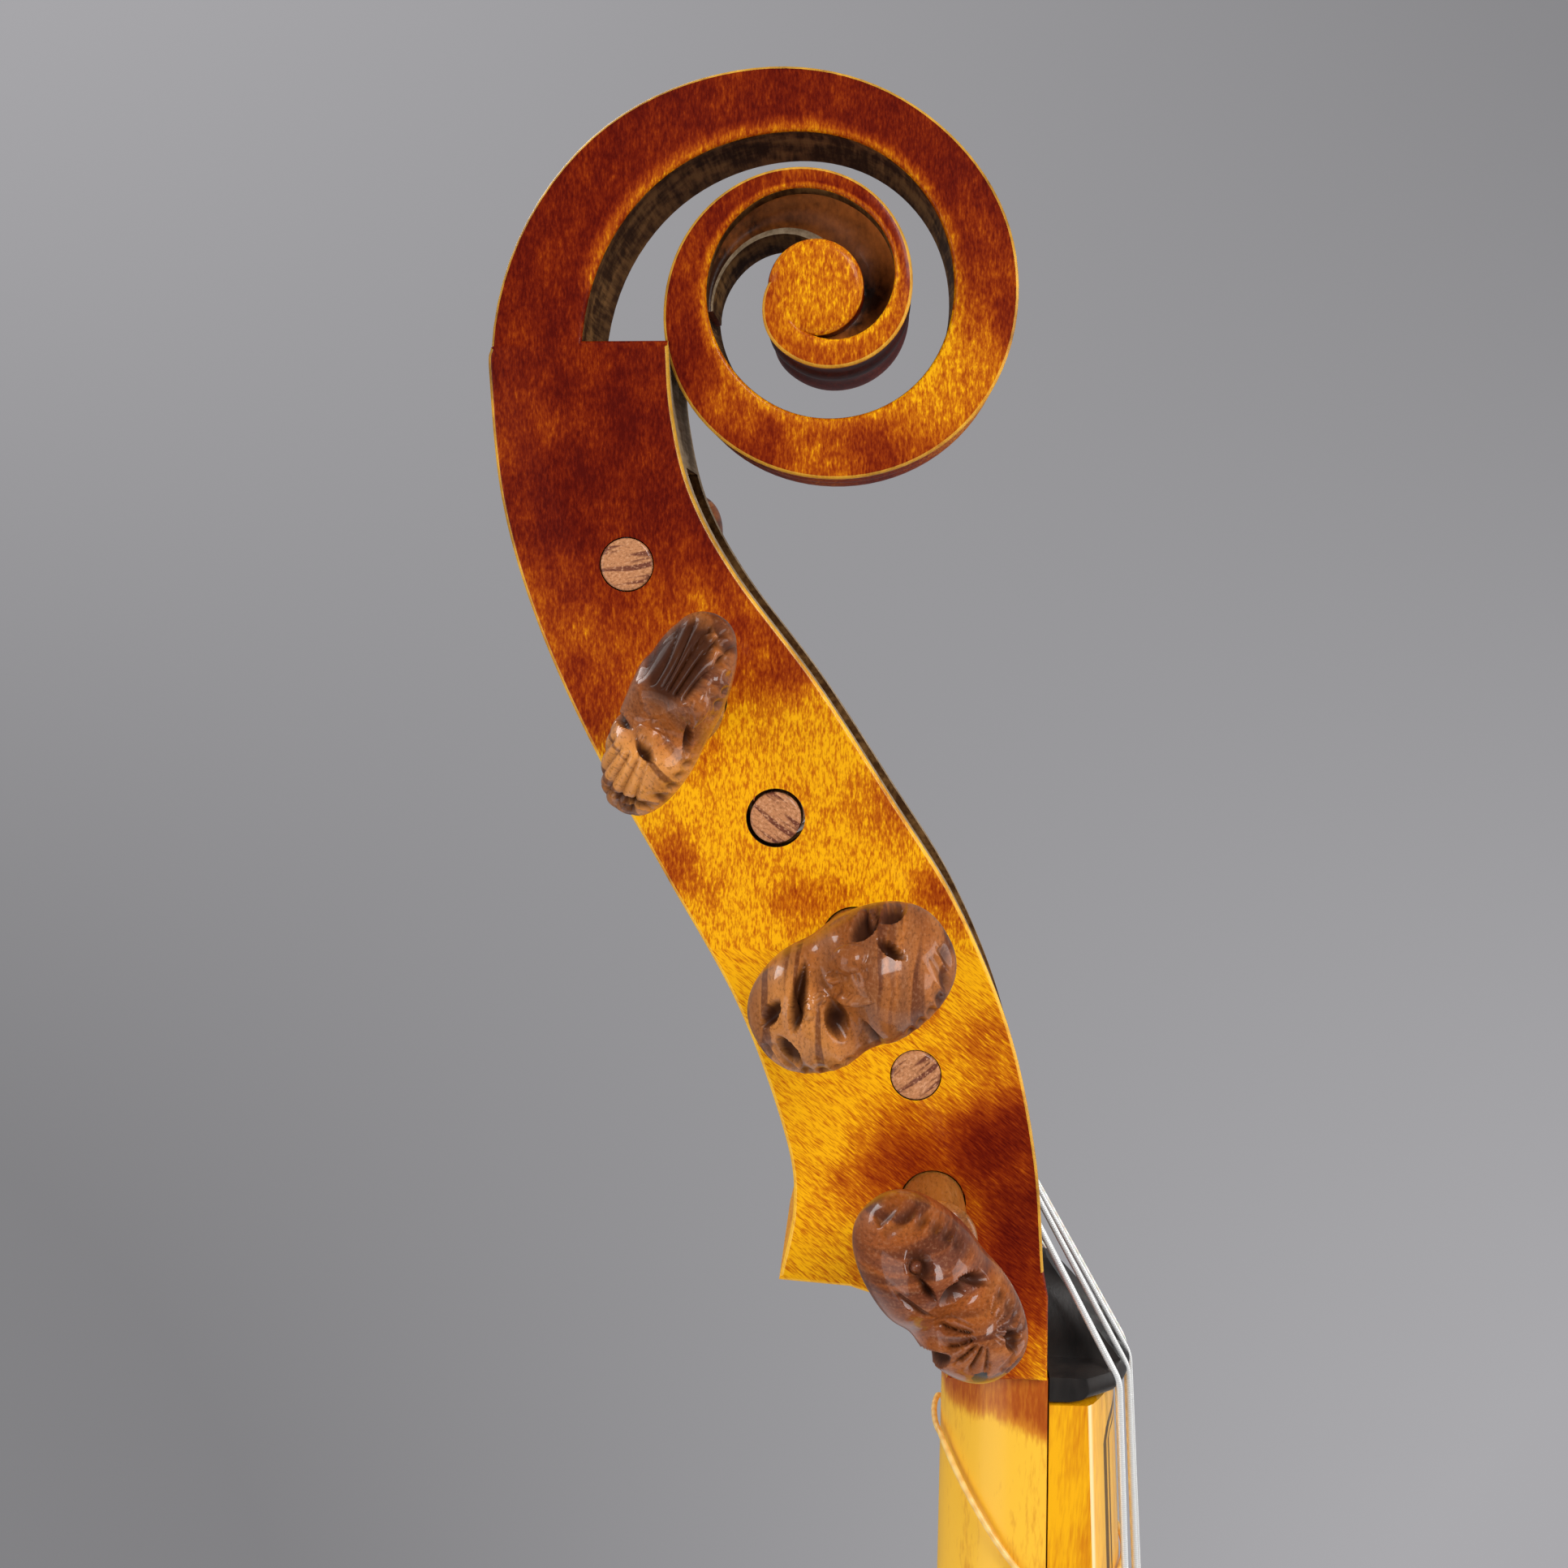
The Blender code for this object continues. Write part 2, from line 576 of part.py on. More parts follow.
def neck(finish, parent):
    stops = [HEAD_START - GAP, -30.0 * MM, -90.0 * MM, -170.0 * MM, -NECK_FREE + HEEL_LENGTH]
    stops += [-NECK_FREE + HEEL_LENGTH * share for share in (0.7, 0.5, 0.35, 0.22, 0.1, -0.12)]
    sections = []
    for q in stops:
        ring = neck_ring(q)
        sections.append([(x, -p, q) for x, p in ring])
    made = object_from("neck", loft(sections), finish, parent, smooth=35.0)
    below = box((-0.1, -0.12, BODY_TOP - 0.1), (0.1, 0.12, BODY_TOP + GAP))
    boolean(made, object_from("neck_end_cut", below, None))
    return made


def nut_crest(x):
    """Height of the string centres over the nut."""
    return board_surface(x, 0.0) + NUT_CLEARANCE


def nut(finish, parent):
    """A rounded bar across the neck's end, with a dome that runs up over the pegbox foot."""
    half_side = [1.0, 0.87, 0.72, 0.58, DOME_HALF / NUT_HALF, 0.48, 0.36, 0.18]
    shares = half_side + [0.0] + [-share for share in reversed(half_side)]
    rows = [(GAP, 0.55), (0.18 * NUT_LENGTH, 0.88), (0.5 * NUT_LENGTH, 1.0), (NUT_LENGTH, 0.93)]
    dome = [(0.3, 0.62), (0.6, 0.36), (0.85, 0.17), (1.0, 0.05)]
    sections = []
    for share in shares:
        x = share * (NUT_HALF - GAP)
        reach = math.sqrt(max(0.0, 1.0 - (x / DOME_HALF) ** 2))
        crest = nut_crest(x) - 4.0 * MM * max(0.0, abs(share) - 0.8) / 0.2
        ring = [(x, -crest * part, q) for q, part in rows]
        for along, part in dome:
            q = NUT_LENGTH + NUT_DOME * reach * along + 0.02 * MM * along
            ring.append((x, -max(crest * mix(0.93, part, reach), 1.2 * MM), q))
        end = NUT_LENGTH + NUT_DOME * reach + 0.3 * MM
        ring.append((x, -GAP, end))
        ring.append((x, -GAP, GAP))
        sections.append(ring)
    return object_from("nut", loft(sections), finish, parent, smooth=35.0)


def fret_place(number):
    """Distance of a fret from the nut, by the twelfth root of two."""
    return STRING_LENGTH * (1.0 - 2.0 ** (-number / 12.0))


def fret(number, finish, parent):
    """A gut loop tied round neck and fingerboard."""
    place = -fret_place(number)
    radius = FRET_DIAMETERS[number - 1] / 2.0
    lift = radius + GAP + 0.05 * MM
    half = board_half(place)
    points = []
    for step in range(BOARD_COLUMNS + 1):
        x = half * (1.0 - 2.0 * step / BOARD_COLUMNS)
        points.append((x, board_surface(min(abs(x), half * 0.999), place) + lift, place))
    points[0] = (half + lift * 0.7, points[0][1] - lift * 0.3, place)
    points[-1] = (-half - lift * 0.7, points[-1][1] - lift * 0.3, place)
    rise = FRET_SLANT[number - 1]
    ring = []
    for x, p in neck_ring(place, extra=lift * FRET_NECK_EASE)[::-1]:
        depth = -p / neck_depth(place)
        ring.append((x, p, place + rise * min(max(depth, 0.0), 1.0) ** 1.3))
    ring[0] = (-half - lift, lift, place)
    ring[-1] = (half + lift, lift, place)
    points += ring
    curve = bpy.data.curves.new(f"fret_{number}", "CURVE")
    curve.dimensions = "3D"
    curve.bevel_depth = radius
    curve.bevel_resolution = 1
    spline = curve.splines.new("POLY")
    spline.points.add(len(points) - 1)
    for target, (x, p, q) in zip(spline.points, points):
        target.co = (x, -p, q - place, 1.0)
    spline.use_cyclic_u = True
    made = link(f"fret_{number}", curve, finish, parent)
    made.location = (0.0, 0.0, place)
    return made


# Head
def metres(points):
    return [(p * MM, q * MM) for p, q in points]


def pegbox_half(q):
    return mix(PEGBOX_HALF_LOW, PEGBOX_HALF_HIGH, min(max(q / PEGBOX_TOP, 0.0), 1.0))


def spiral_at(angle):
    """Outer radius, inner radius and half width of the band at an angle."""
    table = np.array(smooth_through(SPIRAL, 6))
    return [float(np.interp(angle, table[:, 0], table[:, column])) * MM for column in (1, 2, 3)]


def spiral_point(angle, radius):
    turn = math.radians(angle)
    return EYE_CENTRE[0] + radius * math.sin(turn), EYE_CENTRE[1] + radius * math.cos(turn)


def band_section(angle, outer, inner, half):
    (op, oq), (ip, iq) = spiral_point(angle, outer), spiral_point(angle, inner)
    return [(-half, -op, oq), (half, -op, oq), (half, -ip, iq), (-half, -ip, iq)]


def scroll_band(parent):
    angles = np.arange(SPIRAL[0][0], SPIRAL[-1][0] + 0.1, SPIRAL_STEP)
    sections = []
    for angle in angles:
        outer, inner, half = spiral_at(angle)
        sections.append(band_section(angle, outer, inner, half))
    return object_from("scroll_band", loft(sections), None, parent)


def scroll_web(parent):
    """The sunk floor between the eye and the last turn."""
    sections = []
    for angle in np.arange(WEB_FROM, WEB_TO + 1.0, SPIRAL_STEP * 1.2):
        inner = spiral_at(angle)[1]
        sections.append(band_section(angle, inner + 1.5 * MM, EYE_RADIUS * 0.6, WEB_HALF))
    return object_from("scroll_web", loft(sections), None, parent)


def scroll_eye(parent):
    bm = bmesh.new()
    bmesh.ops.create_cone(bm, cap_ends=True, segments=24, radius1=EYE_RADIUS, radius2=EYE_RADIUS,
                          depth=2.0 * EYE_HALF + 0.2 * MM)
    bmesh.ops.rotate(bm, matrix=Matrix.Rotation(math.pi / 2.0, 3, "Y"), verts=bm.verts)
    bmesh.ops.translate(bm, vec=(0.0, -EYE_CENTRE[0], EYE_CENTRE[1]), verts=bm.verts)
    return object_from("scroll_eye", bm, None, parent)


def slab(name, outline, half_of, parent, finish=None):
    """A (p, q) outline given a width that follows its height."""
    sections = []
    for side in (-1, 1):
        sections.append([(side * half_of(q), -p, q) for p, q in outline])
    return object_from(name, loft(sections), finish, parent)


def head(finish, parent):
    back_line = smooth_through(metres(BACK_POINTS), 3)
    front_line = smooth_through(metres(FRONT_POINTS), 3)
    chin = smooth_through(metres(CHIN_POINTS), 2)
    foot = [(-GAP, HEAD_START), (-GAP, HEAD_FRONT_TOP)]
    outline = back_line + front_line + foot[::-1] + chin
    outline = [(p, max(q, HEAD_START)) for p, q in outline]
    made = slab("head", outline, pegbox_half, parent, finish)
    boolean(made, scroll_band(parent), "UNION")
    boolean(made, scroll_web(parent), "UNION")
    boolean(made, scroll_eye(parent), "UNION")
    boolean(made, pegbox_cavity(back_line, parent))
    for side in (-1, 1):
        boolean(made, side_channel(side, parent))
    for number in range(1, len(PEGS) + 1):
        boolean(made, peg_hole(number, parent))
    return made


def pegbox_cavity(back_line, parent):
    floor = [(p + FLOOR, q) for p, q in back_line if CAVITY_LOW < q < CAVITY_TOP - CAVITY_BEND]
    top = [(floor[-1][0] + CAVITY_BEND_REACH, CAVITY_TOP), (CAVITY_FRONT, CAVITY_TOP + 1.0 * MM)]
    outline = floor + top + metres(MOUTH_POINTS)
    return slab("pegbox_cavity", outline, lambda q: pegbox_half(q) - WALL, parent)


def side_channel(side, parent):
    """Room beside the nut's dome for an outer string on its way into the pegbox."""
    outline = metres(CHANNEL_POINTS)
    near = [(side * (DOME_HALF + CHANNEL_ROOM), -p, q) for p, q in outline]
    far = [(side * (pegbox_half(q) - WALL), -p, q) for p, q in outline]
    return object_from(f"side_channel_{side}", loft([near, far]), None, parent)


# Pegs
def peg_facts(number):
    side, p, q, turn = PEGS[number - 1]
    p, q = p * MM, q * MM
    return side, p, q, turn, pegbox_half(q)


def peg_radius(number, x):
    """Radius of the shaft at a place across the head."""
    side, _, _, _, half = peg_facts(number)
    return PEG_RADIUS - PEG_TAPER * (half - side * x)


def peg_frame(number, parent):
    """An empty on the peg's axis, its +Z pointing out of the head's side."""
    side, p, q, _, _ = peg_facts(number)
    frame = bpy.data.objects.new(f"peg_axis_{number}", None)
    bpy.context.scene.collection.objects.link(frame)
    frame.parent = parent
    frame.location = (0.0, -p, q)
    frame.rotation_euler = (0.0, side * math.pi / 2.0, 0.0)
    return frame


def peg_hole(number, parent):
    side, p, q, _, half = peg_facts(number)
    reach = half + 6.0 * MM
    bm = bmesh.new()
    bmesh.ops.create_cone(bm, cap_ends=True, segments=16,
                          radius1=peg_radius(number, -side * reach) + PEG_FIT,
                          radius2=peg_radius(number, side * reach) + PEG_FIT, depth=2.0 * reach)
    bmesh.ops.rotate(bm, matrix=Matrix.Rotation(side * math.pi / 2.0, 3, "Y"), verts=bm.verts)
    bmesh.ops.translate(bm, vec=(0.0, -p, q), verts=bm.verts)
    return object_from(f"peg_hole_{number}", bm, None, parent)


def peg(number, finish, frame):
    """A turned shaft and collar with a carved heart for its head, in one piece."""
    side, _, _, turn, half = peg_facts(number)
    thin = -half - PEG_PROUD
    collar = half + PEG_OUTSIDE
    head_low = collar + 1.0 * MM
    profile = [(thin, peg_radius(number, -side * half)), (collar - 4.0 * MM, PEG_RADIUS + 0.5 * MM),
               (collar - 3.2 * MM, PEG_RADIUS + 1.4 * MM), (collar - 1.6 * MM, PEG_RADIUS + 1.5 * MM),
               (collar - 0.8 * MM, PEG_RADIUS), (collar + 6.0 * MM, PEG_RADIUS - 0.4 * MM)]
    profile.insert(1, (half + 0.2 * MM, PEG_RADIUS))
    count = 16
    rings = []
    for z, radius in profile:
        angles = [2.0 * math.pi * i / count for i in range(count)]
        rings.append([(radius * math.cos(a), radius * math.sin(a), z) for a in angles])
    made = object_from(f"peg_{number}", loft(rings), finish, frame, smooth=35.0)
    heart = peg_heart(number, head_low, math.radians(turn), frame)
    boolean(made, heart, "UNION")
    return made


def peg_heart(number, low, turn, frame):
    """A pillowed heart: an egg form, broad at its outer end, with a cleft between two lobes."""
    bm = bmesh.new()
    bmesh.ops.create_uvsphere(bm, u_segments=14, v_segments=10, radius=1.0)
    for vert in bm.verts:
        a, b, c = vert.co
        height = (c + 1.0) / 2.0
        broad = 0.66 + 0.34 * math.sin(math.pi * min(height * 0.75, 0.5))
        cleft = 0.2 * math.exp(-(a / 0.3) ** 2) * max(c, 0.0) ** 1.5
        flank = 1.0 - 0.22 * math.exp(-(a / 0.3) ** 2) * height
        along = height - cleft
        u = a * broad * PEG_HEAD_WIDTH / 2.0
        v = b * flank * PEG_HEAD_THICKNESS / 2.0 * (0.75 + 0.25 * height)
        x = u * math.cos(turn) - v * math.sin(turn)
        y = u * math.sin(turn) + v * math.cos(turn)
        vert.co = (x, y, low + along * PEG_HEAD_HEIGHT)
    return object_from(f"peg_heart_{number}", bm, None, frame)


# Strings
def string_x(number, spacing):
    return (3.5 - number) * spacing


def bridge_crest(x):
    """Y of the string centres over the bridge."""
    drop = BRIDGE_ARCH_RADIUS - math.sqrt(BRIDGE_ARCH_RADIUS ** 2 - x ** 2)
    return BELLY_CROWN_Y - BRIDGE_HEIGHT + drop


def string_points(number):
    """From the knot under the tailpiece over bridge and nut to the turns on its peg."""
    diameter = STRING_DIAMETERS[number - 1]
    bridge_x = string_x(number, BRIDGE_SPACING)
    nut_x = string_x(number, NUT_SPACING)
    on_bridge = Vector((bridge_x, bridge_crest(bridge_x), BRIDGE_Z))
    hole = tail_hole(number)
    top = hole + TAIL_NORMAL * (TAIL_THICKNESS / 2.0 + diameter / 2.0 + GAP)
    below = hole - TAIL_NORMAL * (TAIL_THICKNESS / 2.0 + 4.0 * MM)
    edge_x = mix(hole.x, bridge_x, TAIL_HOLE_INSET / (TAIL_HOLE_INSET + AFTER_LENGTH))
    lift = TAIL_THICKNESS / 2.0 + diameter / 2.0 + GAP
    edge = TAIL_MATRIX @ Vector((edge_x, -tail_arch(edge_x, TAIL_TOP_HALF) - lift, TAIL_LENGTH))
    face = hole + TAIL_NORMAL * (TAIL_THICKNESS / 2.0)
    points = [below, hole, face, top + (edge - top).normalized() * 1.5 * MM, edge]
    before = (on_bridge - edge).normalized()
    at_nut = to_world(nut_x, nut_crest(nut_x), NUT_CREST)
    after = (at_nut - on_bridge).normalized()
    points += [on_bridge - before * 4.0 * MM, on_bridge, on_bridge + after * 4.0 * MM]
    points += [at_nut - after * 4.0 * MM, at_nut]
    return points


def lead(number):
    """Where a taut string bears on nut and shafts before its own peg, as (p, q)."""
    own = PEG_OF_STRING[number]
    diameter = STRING_DIAMETERS[number - 1]
    own_q = peg_facts(own)[2]
    stops = []
    for peg_number in range(1, len(PEGS) + 1):
        _, p, q, _, _ = peg_facts(peg_number)
        if q <= own_q:
            radius = peg_radius(peg_number, 0.0) + WINDING_LIFT + diameter / 2.0
            stops.append((p + radius * math.cos(STRING_LEAN), q + radius * math.sin(STRING_LEAN)))
    stops.sort(key=lambda stop: stop[1])
    target = stops[-1]
    route = [(nut_crest(string_x(number, NUT_SPACING)), NUT_CREST)]
    while route[-1] != target:
        p, q = route[-1]
        ahead = [stop for stop in stops if stop[1] > q]
        route.append(max(ahead, key=lambda stop: (stop[0] - p) / (stop[1] - q)))
    return route[:-1]


def winding(number):
    """Turns of the string round its peg, away from the middle, as (x, p, q)."""
    peg_number = PEG_OF_STRING[number]
    side, p, q, _, half = peg_facts(peg_number)
    nut_x = string_x(number, NUT_SPACING)
    turns = TURNS[number - 1]
    diameter = STRING_DIAMETERS[number - 1]
    pitch = diameter + TURN_GAP
    room = half - WALL - WALL_CLEARANCE - diameter / 2.0
    first = min(abs(nut_x) * STRING_DRAW, room - pitch * turns)
    outward = math.copysign(1.0, nut_x)
    base = peg_radius(peg_number, side * (half - WALL)) + WINDING_LIFT + diameter / 2.0
    from_p, from_q = lead(number)[-1]
    leave = math.atan2(q - from_q, from_p - p)
    start = math.acos(base / math.hypot(q - from_q, from_p - p)) - leave
    points = []
    for count in range(turns * LOOP_POINTS + 1):
        share = count / LOOP_POINTS
        angle = start + 2.0 * math.pi * share
        x = outward * (first + pitch * share)
        points.append((x, p + base * math.cos(angle), q + base * math.sin(angle)))
    return points


def string_route(number):
    """The string's points from its knot to its peg, without its turns, in world places."""
    points = string_points(number)
    nut_x = string_x(number, NUT_SPACING)
    turns = winding(number)
    start_q = NUT_CREST
    for p, q in lead(number)[1:]:
        share = (q - start_q) / (turns[0][2] - start_q)
        points.append(to_world(mix(nut_x, turns[0][0], share), p, q))
    return points


def least_gap(points, diameter):
    """The smallest space between turns that lie at least half a loop apart."""
    rows = np.array([tuple(point) for point in points])
    least = 1.0
    for index in range(len(rows) - LOOP_POINTS // 2):
        rest = rows[index + LOOP_POINTS // 2:]
        least = min(least, float(np.min(np.linalg.norm(rest - rows[index], axis=1))))
    return least - diameter


def string(number, finish):
    diameter = STRING_DIAMETERS[number - 1]
    turns = [to_world(*point) for point in winding(number)]
    print(f"string {number}: least gap between turns {least_gap(turns, diameter) / MM:.2f} mm")
    points = string_route(number) + turns
    curve = bpy.data.curves.new(f"string_{number}", "CURVE")
    curve.dimensions = "3D"
    curve.bevel_depth = diameter / 2.0
    curve.bevel_resolution = 1
    curve.use_fill_caps = True
    spline = curve.splines.new("POLY")
    spline.points.add(len(points) - 1)
    for target, point in zip(spline.points, points):
        target.co = (*point, 1.0)
    return link(f"string_{number}", curve, finish)


def groove(name, start, end, radius):
    """A round cutter along a string, to notch what carries it."""
    along = Vector(end) - Vector(start)
    bm = bmesh.new()
    bmesh.ops.create_cone(bm, cap_ends=True, segments=8, radius1=radius, radius2=radius, depth=along.length)
    turn = along.to_track_quat("Z", "Y").to_matrix().to_4x4()
    middle = Matrix.Translation((Vector(start) + Vector(end)) / 2.0)
    bmesh.ops.transform(bm, matrix=middle @ turn, verts=bm.verts)
    return object_from(name, bm, None)


def notch_strings(target, place_index):
    """Notches in the nut or the bridge, each along its string's own bend."""
    for number in range(1, 7):
        route = string_route(number) + [to_world(*winding(number)[0])]
        here = route[place_index]
        radius = STRING_DIAMETERS[number - 1] / 2.0 + GAP + 0.05 * MM
        for step in (-1, 1):
            along = (route[place_index + step] - here).normalized()
            cutter = groove(f"{target.name}_notch_{number}_{step}", here - along * 0.6 * MM,
                            here + along * NOTCH_REACH, radius)
            boolean(target, cutter)


# Bridge, tailpiece and hook bar
def bridge(finish):
    """Legs, arched crown and pierced waist, thinner towards the strings."""
    foot_y = BELLY_CROWN_Y - GAP
    half = BRIDGE_FOOT_HALF
    crown = [(x, bridge_crest(x)) for x in np.linspace(-44.0 * MM, 44.0 * MM, 23)]
    heights = {"waist": foot_y - 30.0 * MM, "knee": foot_y - 13.0 * MM, "toe": foot_y - 4.0 * MM}
    right = [(40.0 * MM, heights["waist"] - 10.0 * MM), (33.0 * MM, heights["waist"]),
             (38.0 * MM, heights["knee"]), (half, heights["toe"]), (half, foot_y + 1.5 * MM)]
    inner = [(29.0 * MM, foot_y + 1.5 * MM), (27.0 * MM, heights["toe"]), (19.0 * MM, foot_y - 18.0 * MM),
             (8.0 * MM, foot_y - 23.0 * MM), (0.0, foot_y - 24.5 * MM)]
    left = [(-x, y) for x, y in reversed(inner[:-1])] + [(-x, y) for x, y in reversed(right)]
    outline = crown + right + inner + left
    top_y = BELLY_CROWN_Y - BRIDGE_HEIGHT
    sections = []
    for side in (-1, 1):
        ring = []
        for x, y in outline:
            share = (y - foot_y) / (top_y - foot_y)
            thick = mix(BRIDGE_BOTTOM_THICKNESS, BRIDGE_TOP_THICKNESS, share) / 2.0
            ring.append((x, y, BRIDGE_Z + side * thick))
        sections.append(ring)
    made = object_from("bridge", loft(sections), finish)
    seat = belly_sections(FRONT_Y - BELLY_EDGE - GAP, FRONT_Y, flat_inner=True)
    boolean(made, object_from("bridge_seat", loft(seat), None))
    for index, (x, lift, wide, tall) in enumerate([(0.0, 44.0, 9.0, 12.0), (-24.0, 41.0, 6.0, 14.0),
                                                   (24.0, 41.0, 6.0, 14.0)]):
        boolean(made, bridge_opening(index, x * MM, foot_y - lift * MM, wide * MM, tall * MM))
    return made


def bridge_opening(index, x, y, wide, tall):
    ring = []
    for angle in np.linspace(0.0, 2.0 * math.pi, 19)[:-1]:
        pinch = 1.0 - 0.35 * math.cos(angle) ** 2 * (math.sin(angle) < 0.0)
        ring.append((x + wide * math.cos(angle) * pinch, y + tall * math.sin(angle), 0.0))
    low = [(a, b, BRIDGE_Z - 10.0 * MM) for a, b, _ in ring]
    high = [(a, b, BRIDGE_Z + 10.0 * MM) for a, b, _ in ring]
    return object_from(f"bridge_opening_{index}", loft([low, high]), None)


def tail_matrix():
    along = (TAIL_TOP - TAIL_BOTTOM).normalized()
    across = Vector((1.0, 0.0, 0.0))
    turn = Matrix((across, along.cross(across), along)).transposed().to_4x4()
    return Matrix.Translation(TAIL_BOTTOM) @ turn


def tail_arch(x, half):
    return TAIL_ARCH * (1.0 - (x / max(half, MM)) ** 2) * half / TAIL_TOP_HALF


def tail_hole(number):
    """Middle of a string's hole, halfway through the tailpiece."""
    x = string_x(number, BRIDGE_SPACING) * TAIL_HOLE_DRAW
    place = TAIL_LENGTH - TAIL_HOLE_INSET
    half = mix(TAIL_BOTTOM_HALF, TAIL_TOP_HALF, place / TAIL_LENGTH)
    return TAIL_MATRIX @ Vector((x, -tail_arch(x, half), place))


def tailpiece(finish, parent):
    """A tapered, arched plate with string holes and a slot for the hook bar."""
    columns = 8
    sections = []
    for share, trim in ((0.0, 0.7), (0.03, 1.0), (0.35, 1.0), (0.7, 1.0), (0.97, 1.0), (1.0, 0.93)):
        full = mix(TAIL_BOTTOM_HALF, TAIL_TOP_HALF, share)
        half = full * trim
        z = share * TAIL_LENGTH
        xs = [half * (1.0 - 2.0 * i / columns) for i in range(columns + 1)]
        upper = [(x, -tail_arch(x, full) - TAIL_THICKNESS / 2.0, z) for x in xs]
        lower = [(x, -tail_arch(x, full) + TAIL_THICKNESS / 2.0, z) for x in reversed(xs)]
        sections.append(upper + lower)
    made = object_from("tailpiece", loft(sections), finish, parent, smooth=35.0)
    for number in range(1, 7):
        middle = tail_hole(number)
        reach = TAIL_NORMAL * 9.0 * MM
        boolean(made, groove(f"tail_hole_{number}", middle - reach, middle + reach, TAIL_HOLE_RADIUS))
    slot = box((-HOOK_NECK_HALF - GAP, HOOK_TOP_Y - 8.0 * MM, -1.0 * MM),
               (HOOK_NECK_HALF + GAP, FRONT_Y, BODY_BOTTOM - OVERHANG + 0.6 * MM))
    boolean(made, object_from("tail_slot", slot, None))
    return made


def hook_bar(finish):
    """A hardwood bar up the middle of the lower ribs, with a hook that holds the tailpiece."""
    top = BODY_BOTTOM - OVERHANG - GAP
    neck_top = TAIL_BOTTOM.y + 9.0 * MM
    lower = box((-HOOK_HALF_WIDTH, neck_top, 0.0), (HOOK_HALF_WIDTH, RIB_DEPTH / 2.0, top))
    bar = object_from("hook_bar", lower, finish)
    upper = box((-HOOK_NECK_HALF, HOOK_TOP_Y, 0.0), (HOOK_NECK_HALF, neck_top + 1.0 * MM, top - 0.2 * MM))
    boolean(bar, object_from("hook_neck", upper, None), "UNION")
    return bar


# Inside
def blocks(finish):
    inset = RIB_THICKNESS + GAP
    rows = body_rows(-inset)
    heights = [row[1] for row in rows]
    halves = [row[0] for row in rows]
    top_z = BODY_TOP
    levels = [top_z - BLOCK_DEPTH, top_z - BLOCK_DEPTH * 0.5, top_z - 6.0 * MM, top_z]
    sections = []
    for z in levels:
        half = min(float(np.interp(z, heights, halves)), TOP_HALF + 22.0 * MM)
        near, far = FRONT_Y + GAP, back_y(z) - GAP
        sections.append([(-half, near, z), (half, near, z), (half, far, z), (-half, far, z)])
    object_from("top_block", loft(sections), finish)
    under = [(x, z) for x, z in rows if x < BOTTOM_BLOCK_HALF and z < BODY_BOTTOM + BLOCK_DEPTH]
    under.append((BOTTOM_BLOCK_HALF, float(np.interp(BOTTOM_BLOCK_HALF, halves[:8], heights[:8]))))
    under.append((BOTTOM_BLOCK_HALF * 0.9, BODY_BOTTOM + BLOCK_DEPTH))
    outline = under + [(-x, z) for x, z in reversed(under) if x > MM]
    middle = RIB_DEPTH / 2.0 - GAP
    object_from("bottom_block", prism(outline, -middle, middle), finish)


def under_belly(name):
    """All that lies above the belly's inner face, with its clearance."""
    sections = belly_sections(FRONT_Y - BELLY_EDGE - BELLY_ARCH, FRONT_Y)
    return object_from(name, loft(sections), None)


def bass_bar(finish):
    middle = BRIDGE_Z + 10.0 * MM
    rows = body_rows(OVERHANG)
    near, far = BASS_BAR_X - BASS_BAR_WIDTH / 2.0, BASS_BAR_X + BASS_BAR_WIDTH / 2.0
    sections = []
    for share in np.linspace(-1.0, 1.0, 9):
        z = middle + share * BASS_BAR_LENGTH / 2.0
        low = FRONT_Y - arch(BASS_BAR_X, z, rows) + BASS_BAR_HEIGHT * (1.0 - 0.75 * share ** 2)
        high = BELLY_CROWN_Y + BELLY_EDGE - MM
        sections.append([(near, high, z), (far, high, z), (far, low, z), (near, low, z)])
    made = object_from("bass_bar", loft(sections), finish)
    boolean(made, under_belly("over_bass_bar"))


def sound_post(finish):
    z = BRIDGE_Z - SOUND_POST_BELOW_BRIDGE
    near = BELLY_CROWN_Y + BELLY_EDGE - MM
    far = RIB_DEPTH / 2.0 - BRACE_HEIGHT - GAP
    bm = bmesh.new()
    bmesh.ops.create_cone(bm, cap_ends=True, segments=16, radius1=SOUND_POST_RADIUS,
                          radius2=SOUND_POST_RADIUS, depth=far - near)
    bmesh.ops.rotate(bm, matrix=Matrix.Rotation(math.pi / 2.0, 3, "X"), verts=bm.verts)
    bmesh.ops.translate(bm, vec=(SOUND_POST_X, (near + far) / 2.0, z), verts=bm.verts)
    made = object_from("sound_post", bm, finish, smooth=35.0)
    boolean(made, under_belly("over_sound_post"))


def back_braces(finish):
    """Flat bars across the back: at the fold, under the sound post and in the lower bout."""
    rows = body_rows(-RIB_THICKNESS - GAP - LINING_THICKNESS - BRACE_CLEARANCE)
    heights = [row[1] for row in rows]
    halves = [row[0] for row in rows]
    places = [("fold_brace", FOLD_Z - BRACE_WIDTH / 2.0 - BRACE_CLEARANCE, BRACE_WIDTH),
              ("post_brace", BRIDGE_Z - SOUND_POST_BELOW_BRIDGE, POST_BRACE_WIDTH),
              ("lower_brace", BODY_BOTTOM + LOWER_BRACE_RISE, BRACE_WIDTH)]
    for name, middle, wide in places:
        low, high = middle - wide / 2.0, middle + wide / 2.0
        half = min(float(np.interp(z, heights, halves)) for z in (low, middle, high))
        far = RIB_DEPTH / 2.0
        object_from(name, box((-half, far - BRACE_HEIGHT, low), (half, far, high)), finish)


NECK_Y = FRONT_Y - BELLY_EDGE - NECK_LIFT
BRIDGE_Z = BODY_TOP - BRIDGE_DROP
